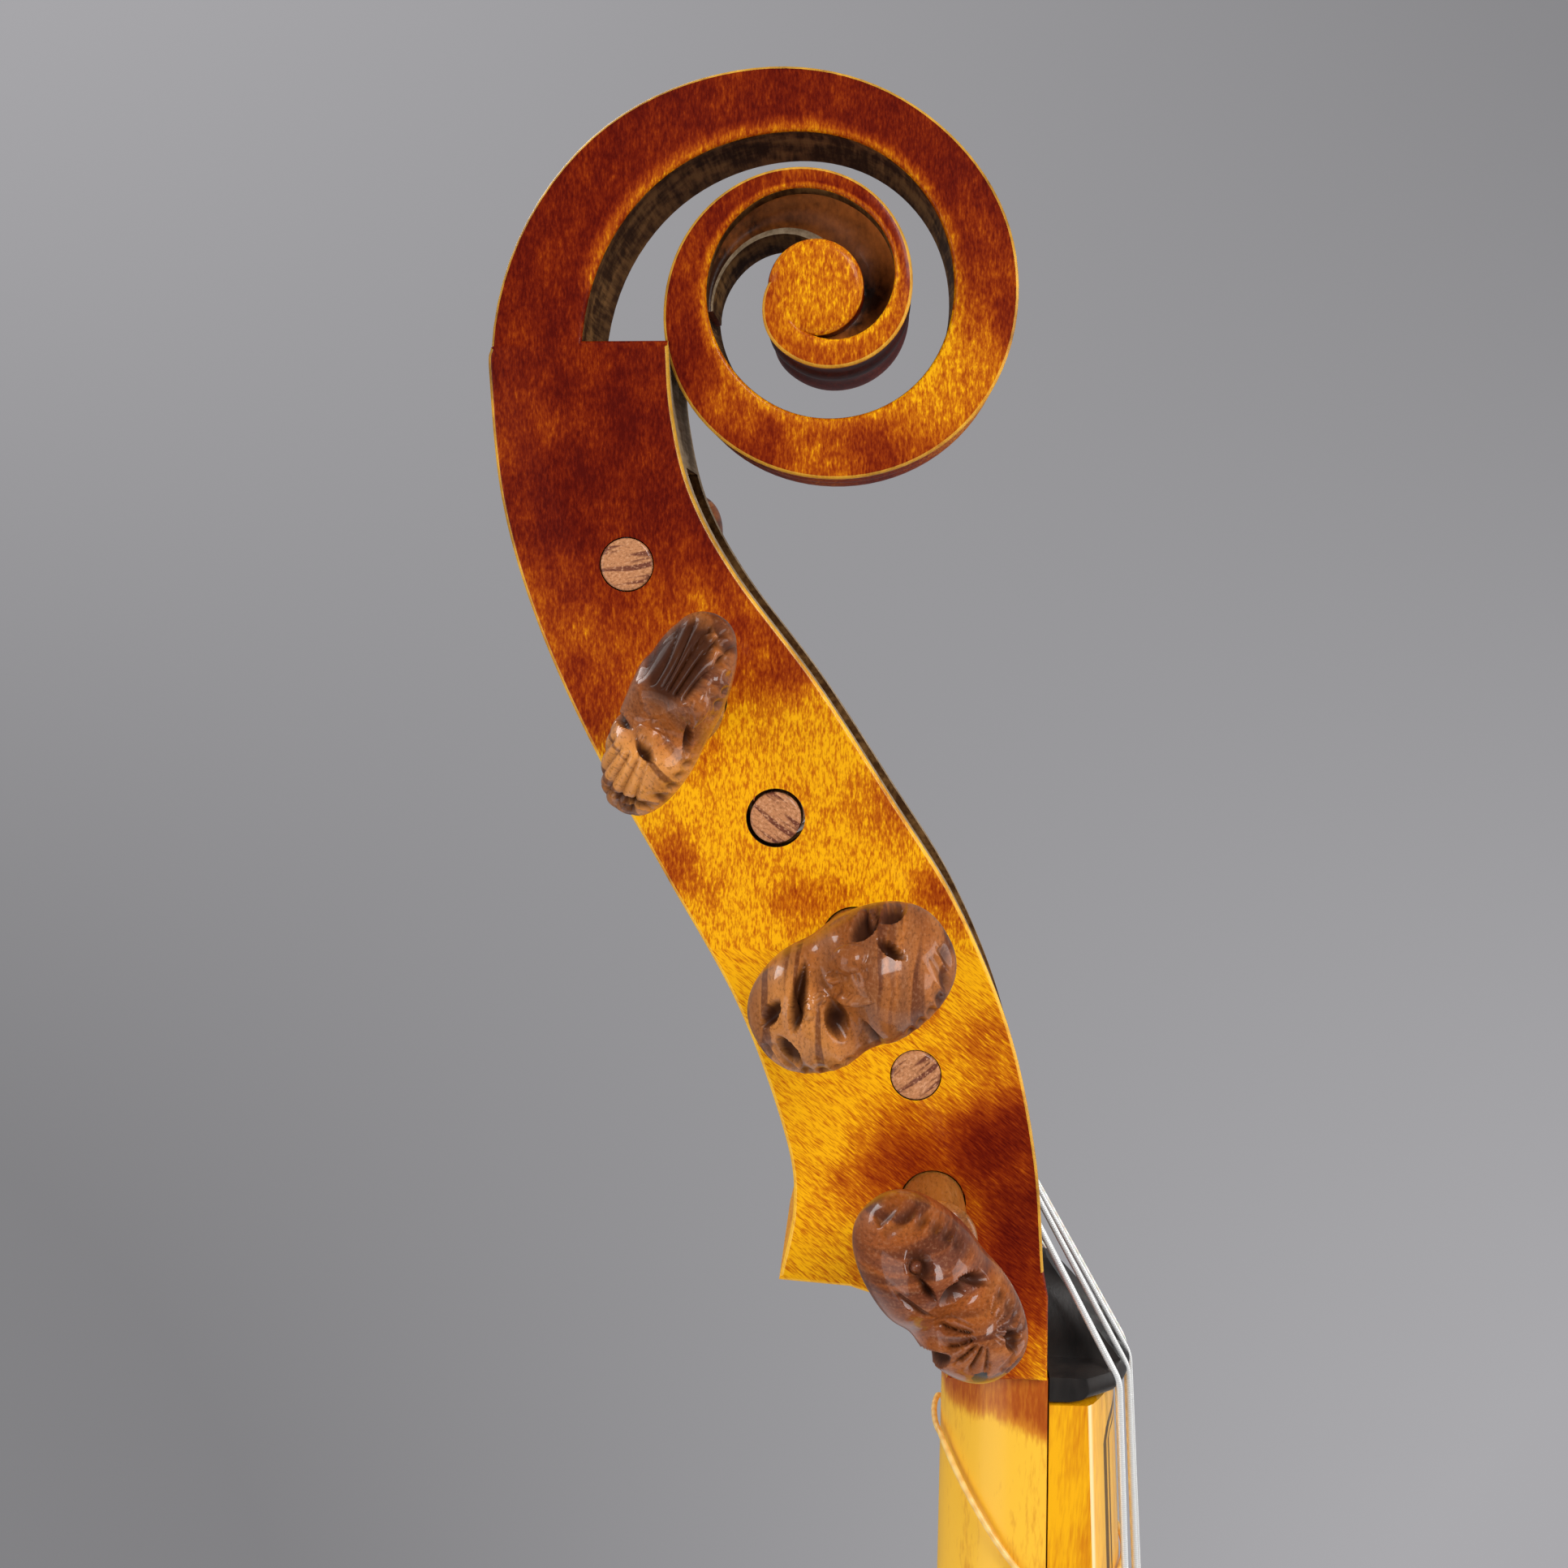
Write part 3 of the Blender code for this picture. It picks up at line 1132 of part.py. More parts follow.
# The nut's place: along the tilted neck from the body's top, where the string length ends
NUT_DROP = STRING_LENGTH - (BODY_TOP - BRIDGE_Z)
NECK_FREE = NUT_DROP / math.cos(NECK_TILT)
NECK_ORIGIN = Vector((0.0, NECK_Y + math.sin(NECK_TILT) * NECK_FREE, BODY_TOP + NUT_DROP))
NECK_MATRIX = Matrix.Translation(NECK_ORIGIN) @ Matrix.Rotation(-NECK_TILT, 4, "X")
HEEL_DEPTH = RIB_DEPTH_AT_NECK + BACK_THICKNESS + BELLY_EDGE + NECK_LIFT + HEEL_CAP
TAIL_BOTTOM = Vector((0.0, FRONT_Y - BELLY_EDGE - HOOK_LIFT, TAIL_BOTTOM_Z))
HOOK_TOP_Y = TAIL_BOTTOM.y - HOOK_PAST_TAIL
ON_BRIDGE = Vector((0.0, BELLY_CROWN_Y - BRIDGE_HEIGHT, BRIDGE_Z))
TAIL_LENGTH = (ON_BRIDGE - TAIL_BOTTOM).length - AFTER_LENGTH
TAIL_TOP = TAIL_BOTTOM + (ON_BRIDGE - TAIL_BOTTOM).normalized() * TAIL_LENGTH
TAIL_MATRIX = tail_matrix()
TAIL_NORMAL = (TAIL_MATRIX.to_3x3() @ Vector((0.0, -1.0, 0.0))).normalized()


def build():
    clear_scene()
    maple = material("varnished_maple", (0.55, 0.26, 0.05), 0.3)
    spruce = material("varnished_spruce", (0.62, 0.34, 0.09), 0.35)
    bare = material("bare_spruce", (0.75, 0.58, 0.36), 0.7)
    ebony = material("ebony", (0.02, 0.018, 0.016), 0.35)
    rosewood = material("rosewood", (0.25, 0.09, 0.045), 0.3)
    pale = material("bridge_maple", (0.7, 0.48, 0.24), 0.5)
    gut = material("gut", (0.8, 0.68, 0.48), 0.4)
    wire = material("wound_string", (0.75, 0.74, 0.7), 0.3, 1.0)

    neck_frame = bpy.data.objects.new("neck_frame", None)
    bpy.context.scene.collection.objects.link(neck_frame)
    neck_frame.matrix_world = NECK_MATRIX
    tail_frame = bpy.data.objects.new("tail_frame", None)
    bpy.context.scene.collection.objects.link(tail_frame)
    tail_frame.matrix_world = TAIL_MATRIX
    bpy.context.view_layer.update()

    belly(spruce)
    back(maple)
    upper, waist, lower = upper_run(), waist_run(), lower_run()
    upper_corner = BODY_TOP - UPPER_CORNER_DROP
    lower_corner = BODY_TOP - LOWER_CORNER_DROP
    for label, side in (("bass", -1), ("treble", 1)):
        rib(f"upper_rib_{label}", upper, side, upper_corner + SEAM, BODY_TOP, maple)
        rib(f"waist_rib_{label}", waist, side, lower_corner + SEAM, upper_corner - SEAM, maple)
        rib(f"lower_rib_{label}", lower[:-1] + [(SEAM, BODY_BOTTOM)], side, None, lower_corner - SEAM, maple)
        corner_block(f"upper_corner_block_{label}", upper, waist, side, bare)
        corner_block(f"lower_corner_block_{label}", waist, lower, side, bare)
        for part, run in (("upper", upper), ("waist", waist), ("lower", lower)):
            lining(f"belly_lining_{part}_{label}", run, side, True, bare)
            lining(f"back_lining_{part}_{label}", run, side, False, bare)
    blocks(bare)
    bass_bar(bare)
    sound_post(bare)
    back_braces(bare)
    hook_bar(maple)
    tailpiece(ebony, tail_frame)
    notch_strings(bridge(pale), 6)

    neck(maple, neck_frame)
    fingerboard(maple, neck_frame)
    notch_strings(nut(ebony, neck_frame), 9)
    head(maple, neck_frame)
    for number in range(1, FRET_STOPS + 1):
        fret(number, gut, neck_frame)
    for number in range(1, len(PEGS) + 1):
        peg(number, rosewood, peg_frame(number, neck_frame))
    for number in range(1, 7):
        string(number, wire if number >= 4 else gut)


build()
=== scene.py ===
"""Looks of a bass viol: carved open scroll, figured varnish, heart-shaped pegs, gut and wound strings.

Metres, +Z up. The neck has its own frame, tilted back four degrees: x across, p towards the
strings and q up along the neck, from the line where the fingerboard meets the nut.
"""
import json
import math

import bmesh
import bpy
import numpy as np
from bpy.props import FloatProperty, FloatVectorProperty, IntProperty, PointerProperty
from bpy.types import Operator, Panel, PropertyGroup
from mathutils import Matrix, Vector


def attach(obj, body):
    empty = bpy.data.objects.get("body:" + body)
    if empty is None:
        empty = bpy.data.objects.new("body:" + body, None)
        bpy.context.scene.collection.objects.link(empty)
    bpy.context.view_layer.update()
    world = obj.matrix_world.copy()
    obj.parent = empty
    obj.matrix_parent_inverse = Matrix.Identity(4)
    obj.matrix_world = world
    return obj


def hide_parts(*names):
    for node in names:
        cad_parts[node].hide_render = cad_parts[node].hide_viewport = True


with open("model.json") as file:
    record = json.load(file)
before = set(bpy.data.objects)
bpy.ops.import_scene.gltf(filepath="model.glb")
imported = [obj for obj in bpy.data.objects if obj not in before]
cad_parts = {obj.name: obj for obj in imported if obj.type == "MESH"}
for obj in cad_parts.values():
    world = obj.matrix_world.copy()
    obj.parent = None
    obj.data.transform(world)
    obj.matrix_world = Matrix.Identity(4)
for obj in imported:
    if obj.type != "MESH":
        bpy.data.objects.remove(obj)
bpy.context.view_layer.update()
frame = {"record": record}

bl_info = {
    "name": "Bass Viol",
    "version": (1, 0, 0),
    "blender": (4, 5, 0),
    "location": "View3D > Sidebar > Viol",
    "description": "Makes the surfaces and finishes of a bass viol on its solid frame",
    "category": "Add Mesh",
}

MM = 0.001
GAP = 0.3 * MM
SIDES = (("bass", -1), ("treble", 1))

# Body
BODY_BOTTOM = 12.0 * MM
BODY_LENGTH = 680.0 * MM
BODY_TOP = BODY_BOTTOM + BODY_LENGTH
TOP_HALF = 29.0 * MM
UPPER_HALF = 161.0 * MM
UPPER_WIDE_Z = BODY_TOP - 190.0 * MM
UPPER_CORNER_HALF = 146.0 * MM
UPPER_CORNER_Z = BODY_TOP - 262.0 * MM
WAIST_HALF = 116.0 * MM
WAIST_Z = BODY_TOP - 340.0 * MM
LOWER_CORNER_HALF = 168.0 * MM
LOWER_CORNER_Z = BODY_TOP - 424.0 * MM
LOWER_HALF = 198.0 * MM
LOWER_WIDE_Z = BODY_TOP - 545.0 * MM
RIB_DEPTH = 125.0 * MM
RIB_DEPTH_AT_NECK = 78.0 * MM
RIB_THICKNESS = 2.2 * MM
FRONT_Y = -RIB_DEPTH / 2.0
FOLD_Z = BODY_TOP - 205.0 * MM
OVERHANG = 2.5 * MM
NARROW_END = 6.0 * MM
BELLY_EDGE = 4.5 * MM
BELLY_ARCH = 13.0 * MM
BELLY_CROWN_Y = FRONT_Y - BELLY_EDGE - BELLY_ARCH
BACK_THICKNESS = 3.8 * MM
OUTLINE_STEPS = 3              # finer than the solid's outline by this
BRIDGE_Z = BODY_TOP - 376.0 * MM
BRIDGE_HEIGHT = 80.0 * MM
BRIDGE_ARCH_RADIUS = 62.0 * MM

# Neck frame
NECK_TILT = math.radians(4.0)
STRING_LENGTH = 690.0 * MM
NUT_DROP = STRING_LENGTH - (BODY_TOP - BRIDGE_Z)
NECK_FREE = NUT_DROP / math.cos(NECK_TILT)
NECK_LIFT = 8.0 * MM
NECK_Y = FRONT_Y - BELLY_EDGE - NECK_LIFT + math.sin(NECK_TILT) * NECK_FREE
NECK_Z = BODY_TOP + NUT_DROP

# Neck and fingerboard
NUT_HALF = 23.0 * MM
NUT_LENGTH = 5.0 * MM
NUT_DOME = 18.0 * MM
DOME_HALF = 12.5 * MM
NUT_CLEARANCE = 3.4 * MM
BOARD_LENGTH = 455.0 * MM
BOARD_END_HALF = 36.0 * MM
BOARD_NUT_RADIUS = 42.0 * MM
BOARD_END_RADIUS = 60.0 * MM
BOARD_NUT_CROWN = 15.2 * MM
BOARD_END_CROWN = 37.5 * MM
BOARD_END_SIDE = 9.0 * MM
NECK_DEPTH = 20.0 * MM
NECK_DEPTH_LOW = 24.0 * MM
HEEL_LENGTH = 62.0 * MM
HEEL_DEPTH = RIB_DEPTH_AT_NECK + BACK_THICKNESS + BELLY_EDGE + NECK_LIFT + 2.0 * MM
HEAD_START = 5.3 * MM
FRET_DIAMETERS = [1.2, 1.15, 1.1, 1.0, 0.95, 0.9, 0.85]
FRET_SLANTS = [26.0, 5.0, 2.0, 3.0, 0.0, 1.5, 0.0]
INLAY_INSET = 6.0 * MM         # of the board's dark threads from its sides
INLAY_SLANT = 0.25             # of the threads' ends, which turn inwards before the nut
INLAY_START = 3.2 * MM
INLAY_GAP = 2.4 * MM           # between the broad thread and the thin one inside it

# Head, in millimetres of (p, q), and the scroll by clockwise degrees about its eye:
# outer radius, inner radius and half width
PEGBOX_HALF_LOW = 25.0 * MM
PEGBOX_HALF_HIGH = 17.0 * MM
PEGBOX_TOP = 207.0 * MM
WALL = 6.5 * MM
FLOOR = 12.5 * MM
CAVITY_TOP = 183.0 * MM
EYE_CENTRE = (-46.2 * MM, 216.2 * MM)
EYE_RADIUS = 9.1 * MM
EYE_HALF = 21.0 * MM
BACK_POINTS = [(-53.0, 24.5), (-50.2, 39.0), (-51.8, 53.0), (-61.0, 78.5), (-75.3, 104.3),
               (-89.3, 129.0), (-100.4, 154.0), (-106.9, 177.0), (-109.2, 201.0), (-108.8, 206.0)]
FRONT_POINTS = [(-74.6, 207.0), (-73.6, 193.0), (-70.0, 178.0), (-61.6, 162.5), (-46.0, 141.8),
                (-31.5, 119.6), (-18.5, 98.8), (-8.3, 74.5), (-3.0, 50.0), (-1.2, 27.0)]
CHIN_POINTS = [(-20.0, 5.3), (-22.0, 12.0), (-28.5, 19.5), (-39.0, 23.4)]
SPIRAL = [(-112.0, 66.6, 49.0, 16.9), (-98.0, 63.0, 45.0, 16.9), (-60.0, 53.0, 37.4, 15.2),
          (-20.0, 44.4, 31.5, 13.4), (30.0, 39.4, 28.4, 13.0), (80.0, 38.7, 26.4, 13.0),
          (130.0, 38.2, 25.7, 13.3), (180.0, 35.2, 23.6, 14.0), (230.0, 32.3, 21.6, 15.2),
          (280.0, 28.1, 20.8, 16.8), (330.0, 24.2, 19.7, 18.2), (380.0, 21.2, 17.4, 19.3),
          (430.0, 18.7, 15.5, 20.2), (480.0, 17.6, 12.9, 20.8), (530.0, 15.3, 9.6, 21.0),
          (558.0, 13.9, 8.2, 21.0), (585.0, 12.6, 7.0, 21.0), (612.0, 10.6, 5.5, 21.0), (636.0, 8.9, 4.5, 20.9)]
WEB_FROM = 262.0
WEB_TO = 538.0
WEB_GROWTH = 135.0             # degrees over which the web widens from the rim to the eye
WEB_ANGLES = [262.0, 330.0, 400.0, 450.0, 500.0, 538.0]
WEB_DEPTHS = [6.0, 8.0, 9.5, 9.0, 5.0, 1.5]

# Varnish on the head: places by p, q and reach in millimetres, each with its depth of red; low down the front and on
# the scroll's right side the depth is partly painted shade
VARNISH_REACH = 1.3            # depth at which the varnish is darkest
VARNISH_AND_SHADE_CLOUDS = [(-20.0, 199.0, 24.0, 0.12), (-46.0, 184.0, 15.0, 0.42), (-62.0, 195.0, 10.0, 0.42), (-11.0, 222.0, 15.0, 0.72),
                  (-46.2, 216.2, 27.0, 0.18), (-71.0, 217.0, 13.0, 0.70), (-48.0, 240.0, 10.0, 0.50),
                  (-104.0, 190.0, 12.0, 0.66), (-57.0, 148.0, 13.0, 0.62), (-33.0, 118.0, 11.0, 0.26),
                  (-20.0, 101.0, 10.0, 0.44), (-30.0, 82.0, 10.0, 0.40), (-12.0, 72.0, 9.0, 0.28),
                  (-5.0, 50.0, 19.0, 0.85), (-6.0, 28.0, 20.0, 0.90), (-27.0, 47.0, 17.0, 0.50),
                  (-73.0, 106.0, 10.0, 0.34), (-90.0, 140.0, 14.0, 0.60), (-70.0, 130.0, 9.0, 0.26),
                  (-43.0, 28.0, 14.0, 0.04), (-48.0, 99.0, 8.0, 0.28), (-14.0, 10.0, 12.0, 0.60)]
RIM_GLOW = 0.62                # share of the depth rubbed away along the band's inner edge
RIM_REACH = 0.22               # of the band's width
RIM_CATCH = 1.2 * MM
RIM_FROM = -90.0
EYE_SHADE_REACH = (22.0 * MM, 17.0 * MM)      # about the eye, where the band's outer face is darkened as painted shade
EYE_FLANK = (20.2 * MM, 19.2 * MM)
STROKE_TURN = 90.0 * MM        # height below which the grain's strokes turn
STROKE_SLANT = 1.2

# Backdrop
BACKDROP_SPREAD = 0.12
REFLECTED_RANGE = (-0.95, 0.20, 0.02, 0.45)    # from and to along x, and the backdrop's strength at each

# Pegs: turn of each heart, in degrees, and what is carved on it
PEG_TURNS = [20.0, -26.0, 65.0, -60.0, -10.0, 41.0]
PEG_CARVINGS = ["rosette", "shell", "shell", "almonds", "almonds", "rosette"]
PEG_RADIUS = 6.2 * MM
PEG_TAPER = 1.0 / 32.0
PEG_OUTSIDE = 24.0 * MM
PEG_HEAD_WIDTH = 38.0 * MM
PEG_HEAD_HEIGHT = 37.0 * MM
PEG_HEAD_THICKNESS = {"shell": 17.5 * MM, "almonds": 25.5 * MM, "rosette": 21.5 * MM}
PEG_PROUD = 0.4 * MM
PEG_ROOM = [0.25, 0.3, 0.8, 0.3, 0.2, 0.3]     # round each shaft in its holes, in millimetres
PEG_COLUMNS = 216
# Cuts below and leaves above a heart's end, in millimetres: place (u, v), turn in degrees, half
# length, half width and height
LEAVES = {
    "shell": [(9.6, 2.0, 0.0, 10.5, 6.2, -2.4), (-3.2, 0.5, 0.0, 2.6, 2.6, 1.6), (-6.0, 0.0, 65.0, 2.8, 1.0, -2.0),
              (-3.8, 6.7, 88.0, 3.4, 0.8, -1.6), (4.5, -4.8, 8.0, 4.0, 1.3, 1.5), (9.4, -6.0, 10.0, 5.0, 1.1, 1.1),
              (-2.0, -5.4, 20.0, 3.4, 0.8, -1.3), (-15.6, 0.0, 90.0, 6.0, 0.7, -1.0)],
    "almonds": [(8.0, 9.4, 10.0, 3.6, 1.6, -2.4), (9.4, 9.8, 0.0, 1.0, 1.0, 1.3), (13.0, 8.4, -10.0, 3.0, 1.2, -1.8),
                (3.2, 6.4, 0.0, 3.9, 2.2, 1.9), (10.1, 4.4, -64.0, 3.2, 1.0, -2.3), (-7.3, 4.6, 51.0, 6.4, 1.5, -3.4),
                (-12.9, 4.4, 33.0, 3.6, 1.3, -2.4), (-13.4, -2.7, 92.0, 3.8, 1.6, -2.4), (-0.7, 4.6, 0.0, 1.2, 1.2, 1.6),
                (-4.2, 2.8, 0.0, 1.1, 1.1, 1.5), (-6.9, 1.7, 0.0, 0.9, 0.9, 1.2), (0.5, 0.3, -28.0, 3.8, 1.0, 1.7),
                (-3.6, -1.8, 80.0, 4.2, 1.9, -1.4), (0.2, -7.5, 94.0, 5.0, 0.8, -1.2)],
    "rosette": [(8.6, -2.4, 0.0, 3.4, 2.3, -1.7), (9.1, -2.0, 0.0, 1.3, 1.3, 1.6), (5.1, -1.0, 0.0, 2.8, 0.9, -1.8),
                (1.2, -3.5, 80.0, 3.2, 1.8, -2.2), (-0.4, -6.8, 20.0, 3.4, 1.1, -1.9),
                (-12.6, -5.2, -20.0, 3.2, 1.4, -2.4), (-6.6, 9.0, 90.0, 5.5, 1.9, -3.0), (4.0, 2.6, 12.0, 5.0, 0.8, -0.9)],
}
# Flutes that spread from a centre (u, v): count, inner and outer reach, first and last bearing, depth
FLUTES = {"shell": [(-16.0, 1.0, 7, 20.0, 34.0, -15.0, 21.0, 0.8), (10.0, 1.0, 5, 17.0, 29.0, 158.0, 188.0, 0.7)],
          "almonds": [(3.2, 6.4, 4, 2.0, 4.4, 200.0, 340.0, 0.5)],
          "rosette": [(-7.0, -3.7, 5, 2.2, 8.6, 35.0, 145.0, 1.3), (-7.0, -3.7, 6, 1.6, 5.0, 180.0, 320.0, 0.6)]}
INLAY_PLACE = (-13.4, 3.2)
INLAY_RADIUS = 1.4
PALE_SHARES = {"shell": (0.15, 0.95), "almonds": (0.25, 0.45), "rosette": (0.0, 0.08)}    # all over, and more at -u

# Strings, from the treble to the bass
STRING_DIAMETERS = [0.65 * MM, 0.8 * MM, 0.95 * MM, 1.1 * MM, 1.25 * MM, 1.4 * MM]
FIRST_WOUND = 4
PEG_OF_STRING = {1: 6, 2: 3, 3: 1, 4: 2, 5: 4, 6: 5}
TURNS = [3, 3, 3, 2, 2, 2]
NUT_SPACING = 7.2 * MM
BRIDGE_SPACING = 15.4 * MM
TURN_GAP = 0.5 * MM
WINDING_LIFT = 0.35 * MM
WALL_CLEARANCE = 0.7 * MM
STRING_LEAN = math.radians(31.0)
STRING_DRAW = 0.7
TAIL_BOTTOM = np.array([0.0, FRONT_Y - BELLY_EDGE - 16.0 * MM, 2.0 * MM])
TAIL_TOP_HALF = 38.0 * MM
TAIL_BOTTOM_HALF = 19.0 * MM
TAIL_THICKNESS = 6.0 * MM
TAIL_ARCH = 6.0 * MM
TAIL_HOLE_INSET = 12.0 * MM
AFTER_LENGTH = 70.0 * MM


class ViolSizes(PropertyGroup):
    """What a maker would change about the finish without moving a piece."""
    edge_round: FloatProperty(name="Edge rounding", description="Radius of the carved head's edges",
                              default=0.9 * MM, unit="LENGTH")
    flute_depth: FloatProperty(name="Flute depth", description="Depth of the hollows up the back of the head",
                               default=1.5 * MM, unit="LENGTH")
    carving: FloatProperty(name="Carving", description="Share of the full relief on the pegs' hearts",
                           default=1.0, min=0.0, max=1.5)
    string_sides: IntProperty(name="String sides", description="Faces round each string", default=12)
    gold: FloatVectorProperty(name="Gold varnish", description="Colour where the varnish is thin",
                              default=(0.93, 0.44, 0.0025), subtype="COLOR")
    red: FloatVectorProperty(name="Red varnish", description="Colour where the varnish is deep",
                             default=(0.145, 0.0080, 0.0003), subtype="COLOR")
    rosewood: FloatVectorProperty(name="Peg wood", description="Ground colour of the pegs",
                                  default=(0.20, 0.055, 0.025), subtype="COLOR")
    backdrop: FloatVectorProperty(name="Backdrop", description="Colour behind the viol",
                                  default=(0.36, 0.355, 0.37), subtype="COLOR")


# Shader arithmetic
class Signal:
    """A shader socket that takes part in Python arithmetic."""

    def __init__(self, finish, socket):
        self.finish = finish
        self.socket = socket

    def math(self, operation, *others):
        return self.finish.math(operation, self, *others)

    def __add__(self, other):
        return self.math("ADD", other)

    def __radd__(self, other):
        return self.math("ADD", other)

    def __sub__(self, other):
        return self.math("SUBTRACT", other)

    def __rsub__(self, other):
        return self.finish.math("SUBTRACT", other, self)

    def __mul__(self, other):
        return self.math("MULTIPLY", other)

    def __rmul__(self, other):
        return self.math("MULTIPLY", other)

    def __truediv__(self, other):
        return self.math("DIVIDE", other)

    def __rtruediv__(self, other):
        return self.finish.math("DIVIDE", other, self)

    def __abs__(self):
        return self.math("ABSOLUTE")

    def __pow__(self, other):
        return self.math("POWER", other)

    def smooth(self, low, high):
        """0 below low and 1 above high, with a soft step between them."""
        return self.finish.node("ShaderNodeMapRange", {"interpolation_type": "SMOOTHSTEP"},
                                {0: self, 1: low, 2: high})


class Finish:
    """A material whose nodes are written as expressions."""

    def __init__(self, name, roughness=0.4, metallic=0.0, coat=0.0, coat_roughness=0.1, specular=0.5):
        self.material = bpy.data.materials.new(name)
        self.material.use_nodes = True
        self.tree = self.material.node_tree
        self.shader = self.tree.nodes["Principled BSDF"]
        self.set("Roughness", roughness)
        self.set("Metallic", metallic)
        self.set("Coat Weight", coat)
        self.set("Coat Roughness", coat_roughness)
        self.set("Specular IOR Level", specular)

    def set(self, socket, value):
        if isinstance(value, Signal):
            self.tree.links.new(value.socket, self.shader.inputs[socket])
        else:
            self.shader.inputs[socket].default_value = value

    def node(self, kind, settings, sockets, output=0):
        made = self.tree.nodes.new(kind)
        for key, value in settings.items():
            if key == "stops":
                stops = made.color_ramp.elements
                stops[1].position, stops[1].color = value[-1][0], (*value[-1][1], 1.0)
                stops[0].position, stops[0].color = value[0][0], (*value[0][1], 1.0)
                for place, colour in value[1:-1]:
                    stops.new(place).color = (*colour, 1.0)
            else:
                setattr(made, key, value)
        for key, value in sockets.items():
            if isinstance(value, Signal):
                self.tree.links.new(value.socket, made.inputs[key])
            else:
                made.inputs[key].default_value = value
        return Signal(self, made.outputs[output])

    def math(self, operation, *values):
        return self.node("ShaderNodeMath", {"operation": operation}, dict(enumerate(values)))

    def place(self):
        """Object coordinates as three numbers."""
        whole = self.node("ShaderNodeTexCoord", {}, {}, "Object")
        return [self.node("ShaderNodeSeparateXYZ", {}, {0: whole}, axis) for axis in range(3)]

    def attribute(self, name):
        return self.node("ShaderNodeAttribute", {"attribute_name": name}, {}, "Fac")

    def varnish(self, depth, gold, red):
        """Colour under a depth of varnish, 0 gold and 1 red: equal steps of depth keep equal shares of light."""
        stops = [(float(share), tuple(thin * (deep / thin) ** (share * VARNISH_REACH) for thin, deep in zip(gold, red)))
                 for share in np.linspace(0.0, 1.0, 7)]
        return self.node("ShaderNodeValToRGB", {"stops": stops}, {"Fac": depth * (1.0 / VARNISH_REACH)})

    def noise(self, x, y, z, detail=3.0, rough=0.5):
        """Noise at a point whose coordinates are already in cells."""
        point = self.node("ShaderNodeCombineXYZ", {}, {0: x, 1: y, 2: z})
        return self.node("ShaderNodeTexNoise", {}, {"Vector": point, "Scale": 1.0, "Detail": detail,
                                                    "Roughness": rough}, 0)

    def blend(self, factor, first, second, mode="MIX"):
        sockets = {0: factor}
        for key, value in ((6, first), (7, second)):
            sockets[key] = value if isinstance(value, Signal) else (*value, 1.0)
        return self.node("ShaderNodeMix", {"data_type": "RGBA", "blend_type": mode}, sockets, 2)

    def bump(self, height, depth, strength=1.0):
        made = self.node("ShaderNodeBump", {}, {"Strength": strength, "Distance": depth, "Height": height})
        self.set("Normal", made)


def neck_coordinates(finish):
    """x, p and q of the shaded point."""
    x, y, z = finish.place()
    y = y - NECK_Y
    z = z - NECK_Z
    p = z * math.sin(NECK_TILT) - y * math.cos(NECK_TILT)
    q = z * math.cos(NECK_TILT) + y * math.sin(NECK_TILT)
    return x, p, q


def head_varnish(name, gold, red, worn=False):
    """Varnish over plain maple: gold in the middle of the pegbox and red-brown over the scroll and down the front, in
    soft clouds, with fine strokes that run along the grain and turn with it at the foot. Low on the front and on the
    scroll's right the red is partly painted shade, and the band's faces in the turns about the eye are darkened as
    painted shade."""
    finish = Finish(name, coat=0.15, coat_roughness=0.12, specular=0.08)
    x, p, q = neck_coordinates(finish)
    slant = p + (q - STROKE_TURN).math("MINIMUM", 0.0) * STROKE_SLANT
    wide = finish.noise(x * 30.0, p * 42.0, q * 36.0, 3.0, 0.6)
    patch = finish.noise(x * 110.0, p * 150.0, q * 90.0 + 3.0, 4.0, 0.65)
    stroke = finish.noise(x * 2400.0, slant * 2500.0, q * 850.0, 2.0, 0.6)
    grit = finish.noise(x * 800.0, slant * 1100.0, q * 420.0, 2.0, 0.6)
    point = finish.node("ShaderNodeCombineXYZ", {}, {0: p + (wide - 0.5) * 0.024, 1: q + (patch - 0.5) * 0.006})
    depth = (q + (wide - 0.5) * 0.03).smooth(0.128, 0.180) * 0.95
    # Some clouds are partly painted shade: low on the front and on the scroll's right.
    for place_p, place_q, reach, level in VARNISH_AND_SHADE_CLOUDS:
        away = finish.node("ShaderNodeVectorMath", {"operation": "DISTANCE"},
                           {0: point, 1: (place_p * MM, place_q * MM, 0.0)}, "Value")
        depth = depth + (level - depth) * away.smooth(reach * 1.15 * MM, reach * 0.15 * MM)
    # Painted shade: the band's faces in the turns close to the eye are darkened.
    from_eye = ((p - EYE_CENTRE[0]) ** 2 + (q - EYE_CENTRE[1]) ** 2) ** 0.5
    painted_eye_shade = from_eye.smooth(*EYE_SHADE_REACH) * abs(x).smooth(*EYE_FLANK)
    depth = depth + (1.1 - depth) * painted_eye_shade
    rubbed = (finish.attribute("rim") * (0.10 + wide * 0.9 + patch * 0.9)).math("MINIMUM", 1.0)
    mottle = (patch - 0.5) * 1.5 + (wide - 0.5) * 0.6
    fine = (stroke - 0.5) * 1.05 + (grit - 0.5) * 0.65
    depth = depth * (1.0 - rubbed * RIM_GLOW) + 0.09 + mottle * (depth + 0.2).math("MINIMUM", 0.8) + fine
    colour = finish.varnish(depth, gold, red)
    if worn:
        rubbed = (1.15 - patch * 1.1 - depth * 0.15).math("MINIMUM", 0.75)
        colour = finish.blend(rubbed, colour, (0.96, 0.55, 0.06))
    finish.set("Base Color", colour)
    finish.set("Roughness", 0.30 + patch * 0.16)
    finish.bump(stroke * 0.5 + grit * 0.4 + patch * 0.5, 0.09 * MM, 0.5)
    return finish.material


